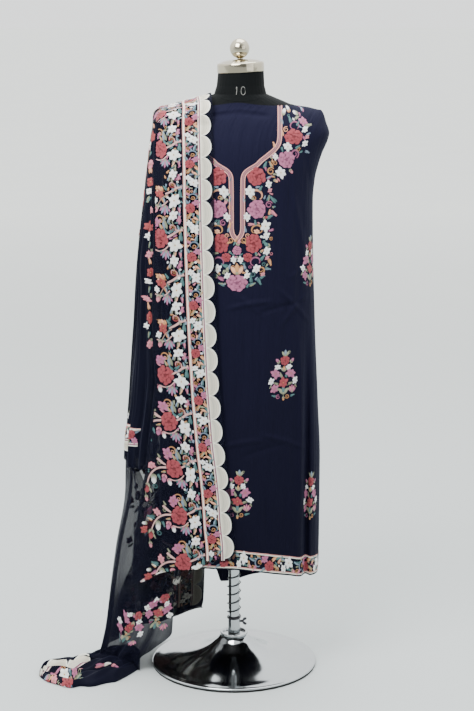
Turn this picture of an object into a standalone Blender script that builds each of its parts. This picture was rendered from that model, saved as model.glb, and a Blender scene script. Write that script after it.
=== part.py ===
"""Salwar kameez suit on a limbless dress form: a Blender model of its cut cloth and its stand.

Metres, +Z up. X runs to the right of the suit's front, Y to its back, and the front faces -Y.
The origin is the middle of the base's underside, on the floor.
Each cloth is a thin wall over points worked out from short tables, one row a section.
"""
import math

import bmesh
import bpy
from mathutils import Vector

# ---- the dress form ----
FORM_BOTTOM = 0.740          # flat underside of the torso
NECK_TOP = 1.4605            # where the chrome cap's rim lies
NECK_SHIFT = 0.0165          # the torso leans: its neck stands this far right of the pole
NECK_TILT = math.radians(3)  # the neck's top falls to the left
FORM_SIDES = 36

# ---- the stand ----
BASE_RADIUS = 0.205
BASE_HEIGHT = 0.072
POLE_RADIUS = 0.0135
SLEEVE_RADIUS = 0.0150
SLEEVE_TOP = 0.1135
SPRING_RADIUS = 0.0166       # to the middle of the wire
SPRING_WIRE = 0.0013
SPRING_PITCH = 0.0220
SPRING_TOP = 0.3560
COLLAR_RADIUS = 0.0215
SCREW_HEIGHT = 0.1060
BALL_RADIUS = 0.0232
CAP_RADIUS = 0.0553

# ---- the cloth ----
GAP = 0.0003                 # between pieces that meet
KAMEEZ_WALL = 0.0012
DUPATTA_WALL = 0.0010
FORM_EASE = 0.0016           # cloth off the form where it lies on it
RIDGE_EASE = 0.0040          # and off the ridge of its shoulder, along the shoulder
LAYER_EASE = 0.0035          # the dupatta off the kameez
KAMEEZ_AXIS = 0.008          # the kameez hangs a little right of the pole
SHOULDER_ROUND = 0.050       # how far down the shoulder's rounding reaches
CENTRE_HEM = 0.281
LAP_X = -0.034               # the back panel laps over itself here and is pinned
LAP_RISE = 0.007
DROP_TOP = 1.345             # where the dupatta's drops leave the shoulder stretch


class Sections:
    """A table with named columns, a row for each section, read smoothly between its rows."""

    def __init__(self, names, rows):
        self.names = names.split()
        self.rows = sorted(rows)
        self.keys = [row[0] for row in self.rows]

    def __call__(self, name, at):
        column = [row[self.names.index(name)] for row in self.rows]
        if at <= self.keys[0]:
            return column[0]
        if at >= self.keys[-1]:
            return column[-1]
        k = next(i for i in range(len(column) - 1) if at <= self.keys[i + 1])
        width = self.keys[k + 1] - self.keys[k]
        t = (at - self.keys[k]) / width
        rise = column[k + 1] - column[k]
        start = self.slope(column, k) * width
        end = self.slope(column, k + 1) * width
        t2, t3 = t * t, t * t * t
        return (column[k] + start * (t3 - 2 * t2 + t) + end * (t3 - t2)
                + rise * (3 * t2 - 2 * t3))

    def slope(self, column, k):
        """A slope at row k that never lets the curve overshoot its rows."""
        if k == 0 or k == len(column) - 1:
            return 0.0
        before = (column[k] - column[k - 1]) / (self.keys[k] - self.keys[k - 1])
        after = (column[k + 1] - column[k]) / (self.keys[k + 1] - self.keys[k])
        if before * after <= 0:
            return 0.0
        return 2 * before * after / (before + after)


# the torso's sections: half its width, half its depth, and how square its outline is
FORM = Sections("z width depth square", [
    (0.740, 0.156, 0.106, 2.2), (0.758, 0.164, 0.112, 2.2), (0.820, 0.168, 0.116, 2.2),
    (0.900, 0.160, 0.111, 2.2), (0.980, 0.138, 0.098, 2.2), (1.040, 0.124, 0.090, 2.2),
    (1.100, 0.128, 0.094, 2.2), (1.170, 0.142, 0.105, 2.2), (1.240, 0.156, 0.113, 2.3),
    (1.300, 0.168, 0.103, 2.3), (1.340, 0.169, 0.087, 2.3), (1.362, 0.157, 0.076, 2.3),
    (1.3805, 0.1305, 0.067, 2.3), (1.394, 0.1015, 0.0605, 2.2), (1.4035, 0.0785, 0.0570, 2.1),
    (1.4105, 0.0615, 0.0550, 2.0), (1.430, 0.0560, 0.0535, 2.0), (1.4605, 0.0538, 0.0530, 2.0),
])

# the kameez's sections: half widths right and left of its axis, depths before and behind
KAMEEZ = Sections("z right left front back square", [
    (0.170, 0.197, 0.190, 0.120, 0.110, 2.6), (0.325, 0.202, 0.192, 0.121, 0.111, 2.6),
    (0.527, 0.2025, 0.190, 0.122, 0.112, 2.6), (0.675, 0.1962, 0.186, 0.122, 0.114, 2.6),
    (0.860, 0.1875, 0.182, 0.122, 0.120, 2.6), (1.103, 0.1802, 0.176, 0.121, 0.119, 2.5),
    (1.160, 0.1797, 0.175, 0.121, 0.118, 2.5), (1.214, 0.1842, 0.176, 0.121, 0.117, 2.5),
    (1.242, 0.1906, 0.177, 0.120, 0.116, 2.5), (1.272, 0.2002, 0.179, 0.117, 0.113, 2.4),
    (1.305, 0.2140, 0.181, 0.110, 0.107, 2.4), (1.3194, 0.2172, 0.181, 0.105, 0.103, 2.4),
    (1.345, 0.2095, 0.179, 0.094, 0.094, 2.4), (1.366, 0.2026, 0.177, 0.083, 0.084, 2.4),
    (1.3736, 0.1975, 0.174, 0.078, 0.080, 2.4), (1.400, 0.190, 0.172, 0.062, 0.062, 2.4),
])

# the kameez's top edge, by the share of the half width: its height before and behind
TOP_EDGE = Sections("share front back", [
    (0.00, 1.3930, 1.4010), (0.25, 1.3880, 1.3975), (0.38, 1.3862, 1.3930),
    (0.50, 1.3856, 1.3890), (0.60, 1.3856, 1.3870), (0.66, 1.3850, 1.3856),
    (0.72, 1.3838, 1.3838), (0.85, 1.3800, 1.3800), (1.00, 1.3736, 1.3736),
])

# the back panel's hem, by x: it hangs lower, with one ragged corner
BACK_HEM = Sections("x height", [
    (-0.185, 0.262), (-0.100, 0.224), (-0.046, 0.206), (-0.034, 0.173), (-0.010, 0.171),
    (0.056, 0.193), (0.110, 0.208), (0.207, 0.243),
])


def lean(z):
    """How far the torso's axis stands right of the pole at a height."""
    return NECK_SHIFT * (z - FORM_BOTTOM) / (NECK_TOP - FORM_BOTTOM)


def round_power(value, power):
    """A power that keeps the sign, for an outline between an ellipse and a box."""
    return math.copysign(abs(value) ** power, value)


def form_reach(x, z):
    """How far from its middle the torso holds the cloth off at a place, or 0 beside it."""
    square = FORM("square", z)
    share = abs(x - lean(z)) / (FORM("width", z) + RIDGE_EASE)
    if share >= 1 or z > NECK_TOP:
        return 0.0
    return FORM("depth", z) * (1 - share ** square) ** (1 / square) + FORM_EASE


def smooth(t):
    """From 0 to 1 with level ends."""
    t = min(max(t, 0.0), 1.0)
    return t * t * (3 - 2 * t)


def bump(value, middle, half_width):
    """A smooth bump, 1 in the middle and 0 from half_width away."""
    t = abs(value - middle) / half_width
    return 0.0 if t >= 1 else 0.5 + 0.5 * math.cos(math.pi * t)


def side_fold(x, z):
    """The fold at the front's right side: a crest, and a trough behind it, deep at the hem."""
    reach = smooth((0.98 - z) / 0.62)
    return reach * (0.005 * bump(x, 0.156, 0.022) - 0.019 * bump(x, 0.1745, 0.013))


def front_hem(x):
    """The front hem's height: it falls towards the right side."""
    return CENTRE_HEM - (0.10 * x + 0.35 * x * x if x > 0 else 0.02 * x)


def kameez_point(angle, down, face):
    """A point of the kameez's inner side.

    angle runs from -90 at the left side to 90 at the right, down from 0 at the top edge to 1 at
    the hem, and face is -1 for the front panel and 1 for the back.
    """
    turn = math.radians(angle)
    where = "front" if face < 0 else "back"
    share = round_power(math.sin(turn), 2 / 2.5)
    top = TOP_EDGE(where, abs(share))
    half = KAMEEZ("right" if share > 0 else "left", 0.25)
    hem_x = KAMEEZ_AXIS + half * share
    hem = front_hem(hem_x) if face < 0 else BACK_HEM("height", hem_x)
    z = top + (hem - top) * down
    half = KAMEEZ("right" if share > 0 else "left", z)
    x = KAMEEZ_AXIS + half * share
    square = KAMEEZ("square", z)
    full = KAMEEZ(where, z) * (1 - abs(share) ** square) ** (1 / square)
    edge = form_reach(x, top)
    t = min((top - z) / SHOULDER_ROUND, 1.0)
    rounded = math.sqrt(1 - (1 - t) ** 2)
    depth = edge + (max(full, edge) - edge) * rounded
    if face < 0:
        depth += side_fold(x, z) * (1 - abs(share) ** 12)
    else:
        depth += back_waves(x, z) * (1 - share ** 4)
    depth = max(depth, form_reach(x, z), GAP)
    return Vector((x, face * depth, z))


def back_waves(x, z):
    """Soft upright waves of the back panel, and the pinned lap that ends in its low corner."""
    reach = smooth((1.05 - z) / 0.80)
    waves = 0.006 * math.sin(38 * x + 0.6) + 0.003 * math.sin(71 * x)
    lap = LAP_RISE * smooth((x - LAP_X) / 0.004) * (1 - smooth((x - LAP_X - 0.03) / 0.06))
    return reach * (waves + lap)


# ---- the dupatta ----
PLEAT_COUNT = 3.5
SHOULDER_IN = -0.055         # the shoulder stretch's ridge, from beside the neck outward
SHOULDER_OUT = -0.1895
SHOULDER_Y = 0.0
FOLD_ROUND = 0.006           # the roundness of the front drop's left fold
TURNED_BACK = 0.016          # the strip turned back behind it
PLEATS_BEHIND = 0.0165       # the side pleats end this far behind the front drop's fold
PLEATS_SIDE_Y = -0.030
PLEATS_BACK_Y = 0.044
# the front drop: its right edge and its left fold
FRONT_DROP = Sections("z right left", [
    (0.230, 0.007, -0.249), (0.300, 0.005, -0.2455), (0.340, 0.004, -0.243),
    (0.402, -0.002, -0.2337), (0.455, -0.005, -0.225), (0.524, -0.0115, -0.2122),
    (0.593, -0.020, -0.2044), (0.680, -0.0270, -0.194), (0.747, -0.0315, -0.186),
    (0.819, -0.0350, -0.1905), (0.914, -0.0390, -0.192), (1.033, -0.0425, -0.188),
    (1.172, -0.0455, -0.188), (1.288, -0.0470, -0.186), (1.345, -0.0484, -0.180),
])

# the front drop's bottom, a slanted turned-under fold, by x
DROP_BOTTOM = Sections("x height", [
    (-0.250, 0.2365), (-0.224, 0.2404), (-0.180, 0.2682), (-0.1465, 0.2783),
    (-0.091, 0.2821), (-0.0646, 0.2960), (0.005, 0.3040),
])

# the side pleats: how far left they stand, and how deep their folds are
SIDE_PLEATS = Sections("z left fold", [
    (0.520, -0.2560, 0.0100), (0.590, -0.2530, 0.0100), (0.667, -0.2400, 0.0090),
    (0.732, -0.2360, 0.0085), (0.809, -0.2285, 0.0080), (0.903, -0.2225, 0.0075),
    (0.964, -0.2200, 0.0070), (1.001, -0.2225, 0.0070), (1.112, -0.2085, 0.0060),
    (1.167, -0.2030, 0.0050), (1.280, -0.1950, 0.0030), (1.345, -0.1885, 0.0004),
])

# the back drop, round the suit's left side, as two quarter turns that meet at its left
BACK_DROP = Sections("z inner_x back_y left_x mid_y front_x front_y", [
    (0.030, -0.130, 0.156, -0.329, 0.007, -0.232, -0.066),
    (0.060, -0.100, 0.154, -0.324, 0.009, -0.200, -0.076),
    (0.106, -0.080, 0.150, -0.317, 0.012, -0.152, -0.078),
    (0.190, -0.076, 0.148, -0.306, 0.020, -0.148, -0.078),
    (0.300, -0.070, 0.145, -0.288, 0.030, -0.165, -0.080),
    (0.450, -0.062, 0.141, -0.262, 0.045, -0.206, -0.050),
    (0.560, -0.056, 0.139, -0.261, 0.060, -0.250, 0.012),
    (0.700, -0.051, 0.137, -0.252, 0.064, -0.241, 0.014),
    (0.850, -0.048, 0.137, -0.243, 0.066, -0.231, 0.016),
    (1.000, -0.046, 0.134, -0.233, 0.066, -0.222, 0.018),
    (1.200, -0.048, 0.131, -0.212, 0.060, -0.204, 0.018),
    (1.300, -0.050, 0.122, -0.199, 0.052, -0.1945, 0.016),
    (1.345, -0.052, 0.108, -0.1920, 0.044, -0.1915, 0.014),
])

# where the back drop's lower edge ends, by the way round from its inner edge to its front edge
DROP_END = Sections("share height", [
    (0.00, 0.090), (0.12, 0.062), (0.25, 0.046), (0.42, 0.032), (0.55, 0.0274), (1.00, 0.0274),
])

# the ridge of the stretch over the shoulder, by x
SHOULDER_RIDGE = Sections("x height", [
    (-0.1895, 1.3456), (-0.187, 1.3540), (-0.182, 1.3650), (-0.175, 1.3726), (-0.168, 1.3761),
    (-0.155, 1.3789), (-0.140, 1.3828), (-0.125, 1.3862), (-0.105, 1.3925), (-0.085, 1.3995),
    (-0.066, 1.4075), (-0.052, 1.4120),
])

# the tail on the floor: its middle line, half width and height
TAIL = Sections("along x y half_width height", [
    (0.00, -0.238, -0.010, 0.052, 0.014), (0.08, -0.262, -0.022, 0.086, 0.024),
    (0.22, -0.296, -0.033, 0.108, 0.026), (0.38, -0.332, -0.049, 0.111, 0.024),
    (0.52, -0.362, -0.067, 0.100, 0.022), (0.68, -0.400, -0.080, 0.092, 0.021),
    (0.84, -0.440, -0.079, 0.069, 0.019), (0.95, -0.467, -0.070, 0.046, 0.015),
    (1.00, -0.480, -0.078, 0.018, 0.008),
])


def clear_collection(name):
    """A new collection for the model, in an emptied scene."""
    for obj in list(bpy.data.objects):
        bpy.data.objects.remove(obj, do_unlink=True)
    home = bpy.data.collections.new(name)
    bpy.context.scene.collection.children.link(home)
    return home


def material(name, colour, roughness, metallic=0.0):
    """A Principled material of one colour."""
    made = bpy.data.materials.new(name)
    made.use_nodes = True
    shader = made.node_tree.nodes["Principled BSDF"]
    shader.inputs["Base Color"].default_value = (*colour, 1.0)
    shader.inputs["Roughness"].default_value = roughness
    shader.inputs["Metallic"].default_value = metallic
    return made


def place(mesh, name, finish, home, at=(0, 0, 0)):
    """An object for a mesh, shaded smooth, with its finish."""
    mesh.name = name
    mesh.materials.append(finish)
    mesh.shade_smooth()
    mesh.set_sharp_from_angle(angle=math.radians(40))
    obj = bpy.data.objects.new(name, mesh)
    obj.location = at
    home.objects.link(obj)
    return obj


def turned(name, profile, sides, finish, home, at=(0, 0, 0), tilt=0.0):
    """A turned piece: a profile of (radius, height) down its outer side, screwed round Z."""
    mesh = bpy.data.meshes.new(name)
    points = [(radius, 0.0, height) for radius, height in profile]
    edges = [(k, k + 1) for k in range(len(points) - 1)]
    mesh.from_pydata(points, edges, [])
    obj = place(mesh, name, finish, home, at)
    obj.rotation_euler = (0.0, tilt, 0.0)
    screw = obj.modifiers.new("turn", "SCREW")
    screw.steps = sides
    screw.render_steps = sides
    screw.use_merge_vertices = True
    screw.merge_threshold = 0.00005
    return obj


def lofted(name, rings, finish, home):
    """A closed body through rings of points, with a flat face at each end."""
    made = bmesh.new()
    loops = [[made.verts.new(point) for point in ring] for ring in rings]
    count = len(loops[0])
    for lower, upper in zip(loops, loops[1:]):
        for k in range(count):
            n = (k + 1) % count
            made.faces.new((lower[k], lower[n], upper[n], upper[k]))
    made.faces.new(list(reversed(loops[0])))
    made.faces.new(loops[-1])
    bmesh.ops.recalc_face_normals(made, faces=made.faces)
    bmesh.ops.triangulate(made, faces=made.faces, quad_method="FIXED")
    mesh = bpy.data.meshes.new(name)
    made.to_mesh(mesh)
    made.free()
    return place(mesh, name, finish, home)


def cloth(name, point, across, down, wall, outward, finish, home):
    """A wall over point(a, d), thickened to the side that outward(first point) shows."""
    made = bmesh.new()
    grid = [[made.verts.new(point(a, d)) for a in across] for d in down]
    for upper, lower in zip(grid, grid[1:]):
        for k in range(len(across) - 1):
            made.faces.new((upper[k], upper[k + 1], lower[k + 1], lower[k]))
    made.normal_update()
    middle = made.faces[:][len(made.faces) // 2]
    if middle.normal.dot(outward) < 0:
        bmesh.ops.reverse_faces(made, faces=made.faces)
    bmesh.ops.triangulate(made, faces=made.faces, quad_method="FIXED")
    mesh = bpy.data.meshes.new(name)
    made.to_mesh(mesh)
    made.free()
    obj = place(mesh, name, finish, home)
    thick = obj.modifiers.new("wall", "SOLIDIFY")
    thick.thickness = wall
    thick.offset = 1.0
    thick.use_even_offset = True
    return obj


def spaced(first, last, count):
    """count steps from first to last."""
    return [first + (last - first) * k / count for k in range(count + 1)]


# ---- the stand's pieces ----

def make_base(home, chrome, rubber):
    """The spun base, the rubber ring under its rim, and the flange on its top."""
    flare = Sections("radius height", [
        (0.030, BASE_HEIGHT), (0.045, 0.0590), (0.070, 0.0400), (0.100, 0.0265),
        (0.135, 0.0175), (0.170, 0.0125), (0.194, 0.0098),
    ])
    slope = [(radius, flare("height", radius)) for radius in
             (0.030, 0.037, 0.045, 0.057, 0.070, 0.090, 0.112, 0.138, 0.165, 0.190)]
    lip = [(0.1975, 0.0106), (0.2025, 0.0096), (BASE_RADIUS, 0.0070), (0.2035, 0.0045)]
    foot = [(0.1965, 0.0036), (0.1965, 0.0), (0.0, 0.0)]
    turned("base", [(0.0, BASE_HEIGHT)] + slope + lip + foot, 40, chrome, home)
    ring = [(0.2000, 0.0033), (0.2040, 0.0033), (0.2040, 0.0), (0.1968, 0.0), (0.1968, 0.0033),
            (0.2000, 0.0033)]
    turned("base_ring", ring, 40, rubber, home)
    cup = [(0.0290, 0.0800), (0.0335, 0.0800), (0.0345, 0.0785), (0.0345, 0.0755),
           (0.0330, 0.0735), (0.0290, BASE_HEIGHT + GAP), (SLEEVE_RADIUS + GAP, BASE_HEIGHT + GAP),
           (SLEEVE_RADIUS + GAP, 0.0745), (0.0265, 0.0750), (0.0290, 0.0800)]
    turned("base_flange", cup, 24, chrome, home)


def make_pole(home, chrome, steel):
    """The pole with its collar, its sleeve, the spring between them and the screw."""
    foot = BASE_HEIGHT + GAP
    collar = SPRING_TOP + GAP
    pole = [(0.0, FORM_BOTTOM - GAP), (POLE_RADIUS, FORM_BOTTOM - GAP),
            (POLE_RADIUS, collar + 0.0150), (COLLAR_RADIUS - 0.001, collar + 0.0150),
            (COLLAR_RADIUS, collar + 0.0140), (COLLAR_RADIUS, collar + 0.0010),
            (COLLAR_RADIUS - 0.001, collar), (POLE_RADIUS, collar),
            (POLE_RADIUS, foot), (0.0, foot)]
    turned("pole", pole, 24, chrome, home)
    bore = POLE_RADIUS + GAP
    sleeve = [(bore, SLEEVE_TOP), (SLEEVE_RADIUS, SLEEVE_TOP), (SLEEVE_RADIUS, foot),
              (bore, foot), (bore, SLEEVE_TOP)]
    turned("pole_sleeve", sleeve, 24, chrome, home)
    make_spring(home, steel)
    make_screw(home, steel)


def make_spring(home, steel):
    """The compression spring: close turns at its ends, open turns between."""
    close = 2 * SPRING_WIRE + 2 * GAP
    low = SLEEVE_TOP + GAP + SPRING_WIRE
    high = SPRING_TOP - SPRING_WIRE
    close_turns = 1.5
    open_turns = (high - low - 2 * close_turns * close) / SPRING_PITCH
    turns = open_turns + 2 * close_turns
    steps = 8
    points = []
    for k in range(int(turns * steps) + 1):
        turn = k / steps
        rise = close * min(turn, close_turns)
        rise += SPRING_PITCH * min(max(turn - close_turns, 0.0), open_turns)
        rise += close * max(turn - close_turns - open_turns, 0.0)
        angle = 2 * math.pi * turn + math.pi
        points.append((SPRING_RADIUS * math.cos(angle), SPRING_RADIUS * math.sin(angle),
                       low + rise))
    wire(points, SPRING_WIRE, "pole_spring", steel, home)


def wire(points, radius, name, finish, home):
    """A wire through points: a curve with a round bevel and filled ends."""
    curve = bpy.data.curves.new(name, "CURVE")
    curve.dimensions = "3D"
    curve.bevel_depth = radius
    curve.bevel_resolution = 1
    curve.use_fill_caps = True
    line = curve.splines.new("POLY")
    line.points.add(len(points) - 1)
    for spot, point in zip(line.points, points):
        spot.co = (*point, 1.0)
    curve.materials.append(finish)
    obj = bpy.data.objects.new(name, curve)
    home.objects.link(obj)
    return obj


def make_screw(home, steel):
    """The wing screw that locks the height: a round shank and two crossed ears."""
    shank_start = SLEEVE_RADIUS + GAP
    shank = 0.0085
    made = bmesh.new()
    bmesh.ops.create_cone(made, cap_ends=True, segments=16, radius1=0.0030, radius2=0.0030,
                          depth=shank)
    for vert in made.verts:
        vert.co = Vector((vert.co.z + shank / 2, vert.co.y, vert.co.x))
    bmesh.ops.recalc_face_normals(made, faces=made.faces)
    mesh = bpy.data.meshes.new("height_screw")
    made.to_mesh(mesh)
    made.free()
    obj = place(mesh, "height_screw", steel, home, (shank_start, 0.0, SCREW_HEIGHT))
    cutters = bpy.data.collections.new("joined_shapes")
    bpy.context.scene.collection.children.link(cutters)
    for name, lift in (("upper_ear", 1), ("lower_ear", -1)):
        ear = ear_shape(name, lift, steel, cutters)
        ear.location = obj.location
        join = obj.modifiers.new(name, "BOOLEAN")
        join.operation = "UNION"
        join.object = ear


def ear_shape(name, lift, steel, home):
    """One ear of the wing screw: a flat petal that leans outward from the shank's end."""
    outline = [(0.0045, 0.0), (0.0060, 0.0042), (0.0085, 0.0082), (0.0125, 0.0100),
               (0.0160, 0.0085), (0.0165, 0.0055), (0.0125, 0.0030), (0.0085, 0.0)]
    half = 0.0012
    made = bmesh.new()
    sides = [[made.verts.new((x, y, lift * z)) for x, z in outline] for y in (-half, half)]
    made.faces.new(sides[0])
    made.faces.new(list(reversed(sides[1])))
    for k in range(len(outline)):
        n = (k + 1) % len(outline)
        made.faces.new((sides[0][n], sides[0][k], sides[1][k], sides[1][n]))
    bmesh.ops.recalc_face_normals(made, faces=made.faces)
    mesh = bpy.data.meshes.new(name)
    made.to_mesh(mesh)
    made.free()
    ear = place(mesh, name, steel, home)
    ear.hide_render = True
    ear.display_type = "WIRE"
    return ear


def make_cap(home, chrome):
    """The neck's chrome cap and the ball on it, both tilted with the neck's top."""
    cap = [(0.0, 0.0305), (0.0150, 0.0302), (0.0290, 0.0290), (0.0420, 0.0262),
           (0.0500, 0.0232), (0.0538, 0.0202), (CAP_RADIUS, 0.0165), (CAP_RADIUS, 0.0020),
           (CAP_RADIUS - 0.001, 0.0), (0.0, 0.0)]
    seat = Vector((NECK_SHIFT, 0.0, NECK_TOP + GAP + 0.0001))
    turned("neck_cap", cap, 28, chrome, home, seat, -NECK_TILT)
    up = Vector((-math.sin(NECK_TILT), 0.0, math.cos(NECK_TILT)))
    ball = [(0.0, 2 * BALL_RADIUS)]
    for k in range(1, 10):
        angle = math.pi * k / 10.5
        ball.append((BALL_RADIUS * math.sin(angle), BALL_RADIUS * (1 + math.cos(angle))))
    stem = 0.0065
    ball += [(stem, ball[-1][1] - 0.0004), (stem, -0.0005), (0.0, -0.0005)]
    turned("cap_ball", ball, 24, chrome, home, seat + up * (0.0305 + 0.0005 + GAP), -NECK_TILT)


def make_torso(home, finish):
    """The limbless torso, its neck's top tilted."""
    heights = [0.740, 0.746, 0.758, 0.820, 0.900, 0.970, 1.040, 1.100, 1.170, 1.240, 1.290,
               1.325, 1.348, 1.362, 1.372, 1.3805, 1.388, 1.394, 1.4035, 1.4105, 1.430, NECK_TOP]
    rings = []
    for z in heights:
        power = 2 / FORM("square", z)
        ring = []
        for k in range(FORM_SIDES):
            turn = 2 * math.pi * k / FORM_SIDES
            x = FORM("width", z) * round_power(math.cos(turn), power)
            y = FORM("depth", z) * round_power(math.sin(turn), power)
            tilt = math.tan(NECK_TILT) * x if z == NECK_TOP else 0.0
            ring.append(Vector((lean(z) + x, y, z + tilt)))
        rings.append(ring)
    lofted("form_torso", rings, finish, home)


# ---- the cloth's pieces ----

FRONT_ANGLES = [-90, -80, -69, -58, -48, -42, -38, -34, -30, -25, -17, -8, 1, 10, 19, 26, 31,
                35, 39, 42, 45, 48, 51, 54, 60, 69, 80, 90]
BACK_ANGLES = [-90, -80, -68, -56, -46, -39, -34, -29, -22, -14, -10, -5, 3, 11, 20, 27, 32,
               37, 45, 56, 68, 80, 90]
KAMEEZ_ROWS = [0.0, 0.004, 0.010, 0.019, 0.032, 0.047, 0.064, 0.085, 0.110, 0.140, 0.180,
               0.230, 0.30, 0.39, 0.49, 0.59, 0.69, 0.78, 0.86, 0.93, 1.0]


def make_kameez(home, navy):
    """The front and back panels, 0.6 mm apart along the shoulders and sides."""
    cloth("kameez_front", lambda a, d: kameez_point(a, d, -1), FRONT_ANGLES, KAMEEZ_ROWS,
          KAMEEZ_WALL, Vector((0, -1, 0)), navy, home)
    cloth("kameez_back", lambda a, d: kameez_point(a, d, 1), BACK_ANGLES, KAMEEZ_ROWS,
          KAMEEZ_WALL, Vector((0, 1, 0)), navy, home)


def kameez_front_depth(x, z):
    """How far the kameez's front stands before the pole's plane, seen from outside."""
    half = KAMEEZ("right" if x > KAMEEZ_AXIS else "left", z)
    share = min(abs(x - KAMEEZ_AXIS) / half, 1.0)
    square = KAMEEZ("square", z)
    full = KAMEEZ("front", z) * (1 - share ** square) ** (1 / square)
    top = TOP_EDGE("front", share)
    t = min(max((top - z) / SHOULDER_ROUND, 0.0), 1.0)
    return max(full * math.sqrt(1 - (1 - t) ** 2), form_reach(x, z)) + KAMEEZ_WALL


def front_drop_point(across, down):
    """The front drop's inner side: across runs from 0 at its right edge to 1 at its left fold,
    to 1.2 round the fold and to 1.3 along the strip that is turned back."""
    z = DROP_TOP
    x = 0.0
    for _ in range(3):
        right = FRONT_DROP("right", z)
        left = FRONT_DROP("left", z) + FOLD_ROUND
        x = right + (left - right) * min(across, 1.0)
        z = DROP_TOP + (DROP_BOTTOM("height", x) - DROP_TOP) * down
    y = -drop_depth(x, z)
    turn = math.pi * min(max(across - 1.0, 0.0) / 0.2, 1.0)
    x += -FOLD_ROUND * math.sin(turn) + max(across - 1.2, 0.0) / 0.1 * TURNED_BACK
    y += FOLD_ROUND * (1 - math.cos(turn))
    return Vector((x, y, z))


def drop_depth(x, z):
    """How far the front drop stands forward: on the kameez, then hanging wide of its side."""
    wide = 0.33 - 0.095 * smooth((z - 1.05) / 0.25)
    share = min(abs(x - 0.03) / wide, 1.0)
    reach = KAMEEZ("front", z) + KAMEEZ_WALL + LAYER_EASE
    hanging = reach * (1 - share ** 2.6) ** (1 / 2.6)
    resting = kameez_front_depth(x, z) + LAYER_EASE
    return max(hanging, resting) + drop_waves(x, z)


def drop_waves(x, z):
    """The front drop's soft upright waves, strongest at the left fold and the bottom."""
    reach = smooth((1.30 - z) / 0.9)
    return reach * (0.0045 * bump(x, -0.150, 0.045) + 0.006 * bump(x, -0.222, 0.040)
                    + 0.003 * bump(x, -0.060, 0.040))


def turned_end_point(across, down):
    """The end turned up behind the front drop's bottom, with one scallop hanging below."""
    x = -0.222 + 0.155 * across
    low = DROP_BOTTOM("height", x) + 0.004 - 0.030 * bump(x, -0.136, 0.016)
    z = low + 0.095 * (1 - down)
    return Vector((x, -drop_depth(x, z) + 0.0018, z))


def side_pleat_point(across, down):
    """The pleats at the left side, from beside the suit round to behind the front drop."""
    low = 0.522 + 0.030 * smooth((0.45 - across) / 0.3)
    z = DROP_TOP + (low - DROP_TOP) * down
    left = SIDE_PLEATS("left", z)
    end_x = FRONT_DROP("left", z) + 0.004
    front = -drop_depth(end_x, z) + PLEATS_BEHIND
    turn = math.pi / 2 * min(max((across - 0.35) / 0.65, 0.0), 1.0)
    x = left + (end_x - left) * (1 - math.cos(turn))
    y = PLEATS_SIDE_Y + (front - PLEATS_SIDE_Y) * math.sin(turn)
    if across < 0.35:
        t = 1 - across / 0.35
        x = left + (0.004 + 0.022 * smooth((DROP_TOP - z) / 0.35)) * t * t
        y = PLEATS_SIDE_Y + (PLEATS_BACK_Y - PLEATS_SIDE_Y) * t
    fold = SIDE_PLEATS("fold", z) * math.sin(2 * math.pi * PLEAT_COUNT * across + 0.9)
    fold *= smooth((1 - across) / 0.15) * smooth(across / 0.1 + 0.3)
    return Vector((x - fold * math.cos(turn), y - fold * math.sin(turn) * 0.4, z))


def back_drop_point(share, down):
    """The back drop: from its inner edge behind, round the left side, to its front edge."""
    end = DROP_END("height", share)
    z = DROP_TOP + (end - DROP_TOP) * down
    row = {name: BACK_DROP(name, z) for name in BACK_DROP.names[1:]}
    if share < 0.6:
        turn = math.pi / 2 * share / 0.6
        x = row["inner_x"] + (row["left_x"] - row["inner_x"]) * math.sin(turn)
        y = row["mid_y"] + (row["back_y"] - row["mid_y"]) * math.cos(turn) ** 0.8
    else:
        turn = math.pi / 2 * (share - 0.6) / 0.4
        x = row["front_x"] + (row["left_x"] - row["front_x"]) * math.cos(turn)
        y = row["mid_y"] + (row["front_y"] - row["mid_y"]) * math.sin(turn)
    reach = smooth((1.25 - z) / 1.0) * math.sin(math.pi * share)
    wave = reach * 0.010 * math.sin(2 * math.pi * 4.5 * share + 0.8)
    middle = Vector((-0.15, 0.03, z))
    out = (Vector((x, y, z)) - middle).normalized()
    return Vector((x, y, z)) + out * wave


def shoulder_point(across, over):
    """The stretch over the left shoulder: over runs from 0 in front to 1 behind."""
    front = front_drop_point(across, 0.0)
    back = back_drop_point(0.8 * across, 0.0)
    ridge_x = SHOULDER_IN + (SHOULDER_OUT - SHOULDER_IN) * across
    ridge = Vector((ridge_x, SHOULDER_Y, SHOULDER_RIDGE("height", ridge_x)))
    rim = front if over < 0.5 else back
    rim.z += 2 * GAP
    turn = math.pi * over
    arch = math.sin(turn) ** 0.8
    level = abs(round_power(math.cos(turn), 0.8))
    return Vector((rim.x + (ridge.x - rim.x) * (1 - level), ridge.y + (rim.y - ridge.y) * level,
                   rim.z + (ridge.z - rim.z) * arch))


def make_tail(home, navy):
    """The stretch that trails on the floor: rounded layers with a flat underside."""
    rings = []
    for along in (0.0, 0.04, 0.10, 0.18, 0.28, 0.38, 0.48, 0.58, 0.68, 0.78, 0.88, 0.95, 1.0):
        row = {name: TAIL(name, along) for name in TAIL.names[1:]}
        ring = []
        for k in range(11):
            side = 1 - 2 * k / 10
            ripple = 0.80 + 0.20 * math.cos(3 * math.pi * side + 4 * along)
            top = row["height"] * (1 - side ** 4) ** 0.5 * ripple + 0.0022
            ring.append(Vector((row["x"], row["y"] + row["half_width"] * side, top)))
        ring.append(Vector((row["x"], row["y"] - row["half_width"] * 0.985, 0.0002)))
        ring.append(Vector((row["x"], row["y"] + row["half_width"] * 0.985, 0.0002)))
        rings.append(ring)
    lofted("dupatta_tail", rings, navy, home)


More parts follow.
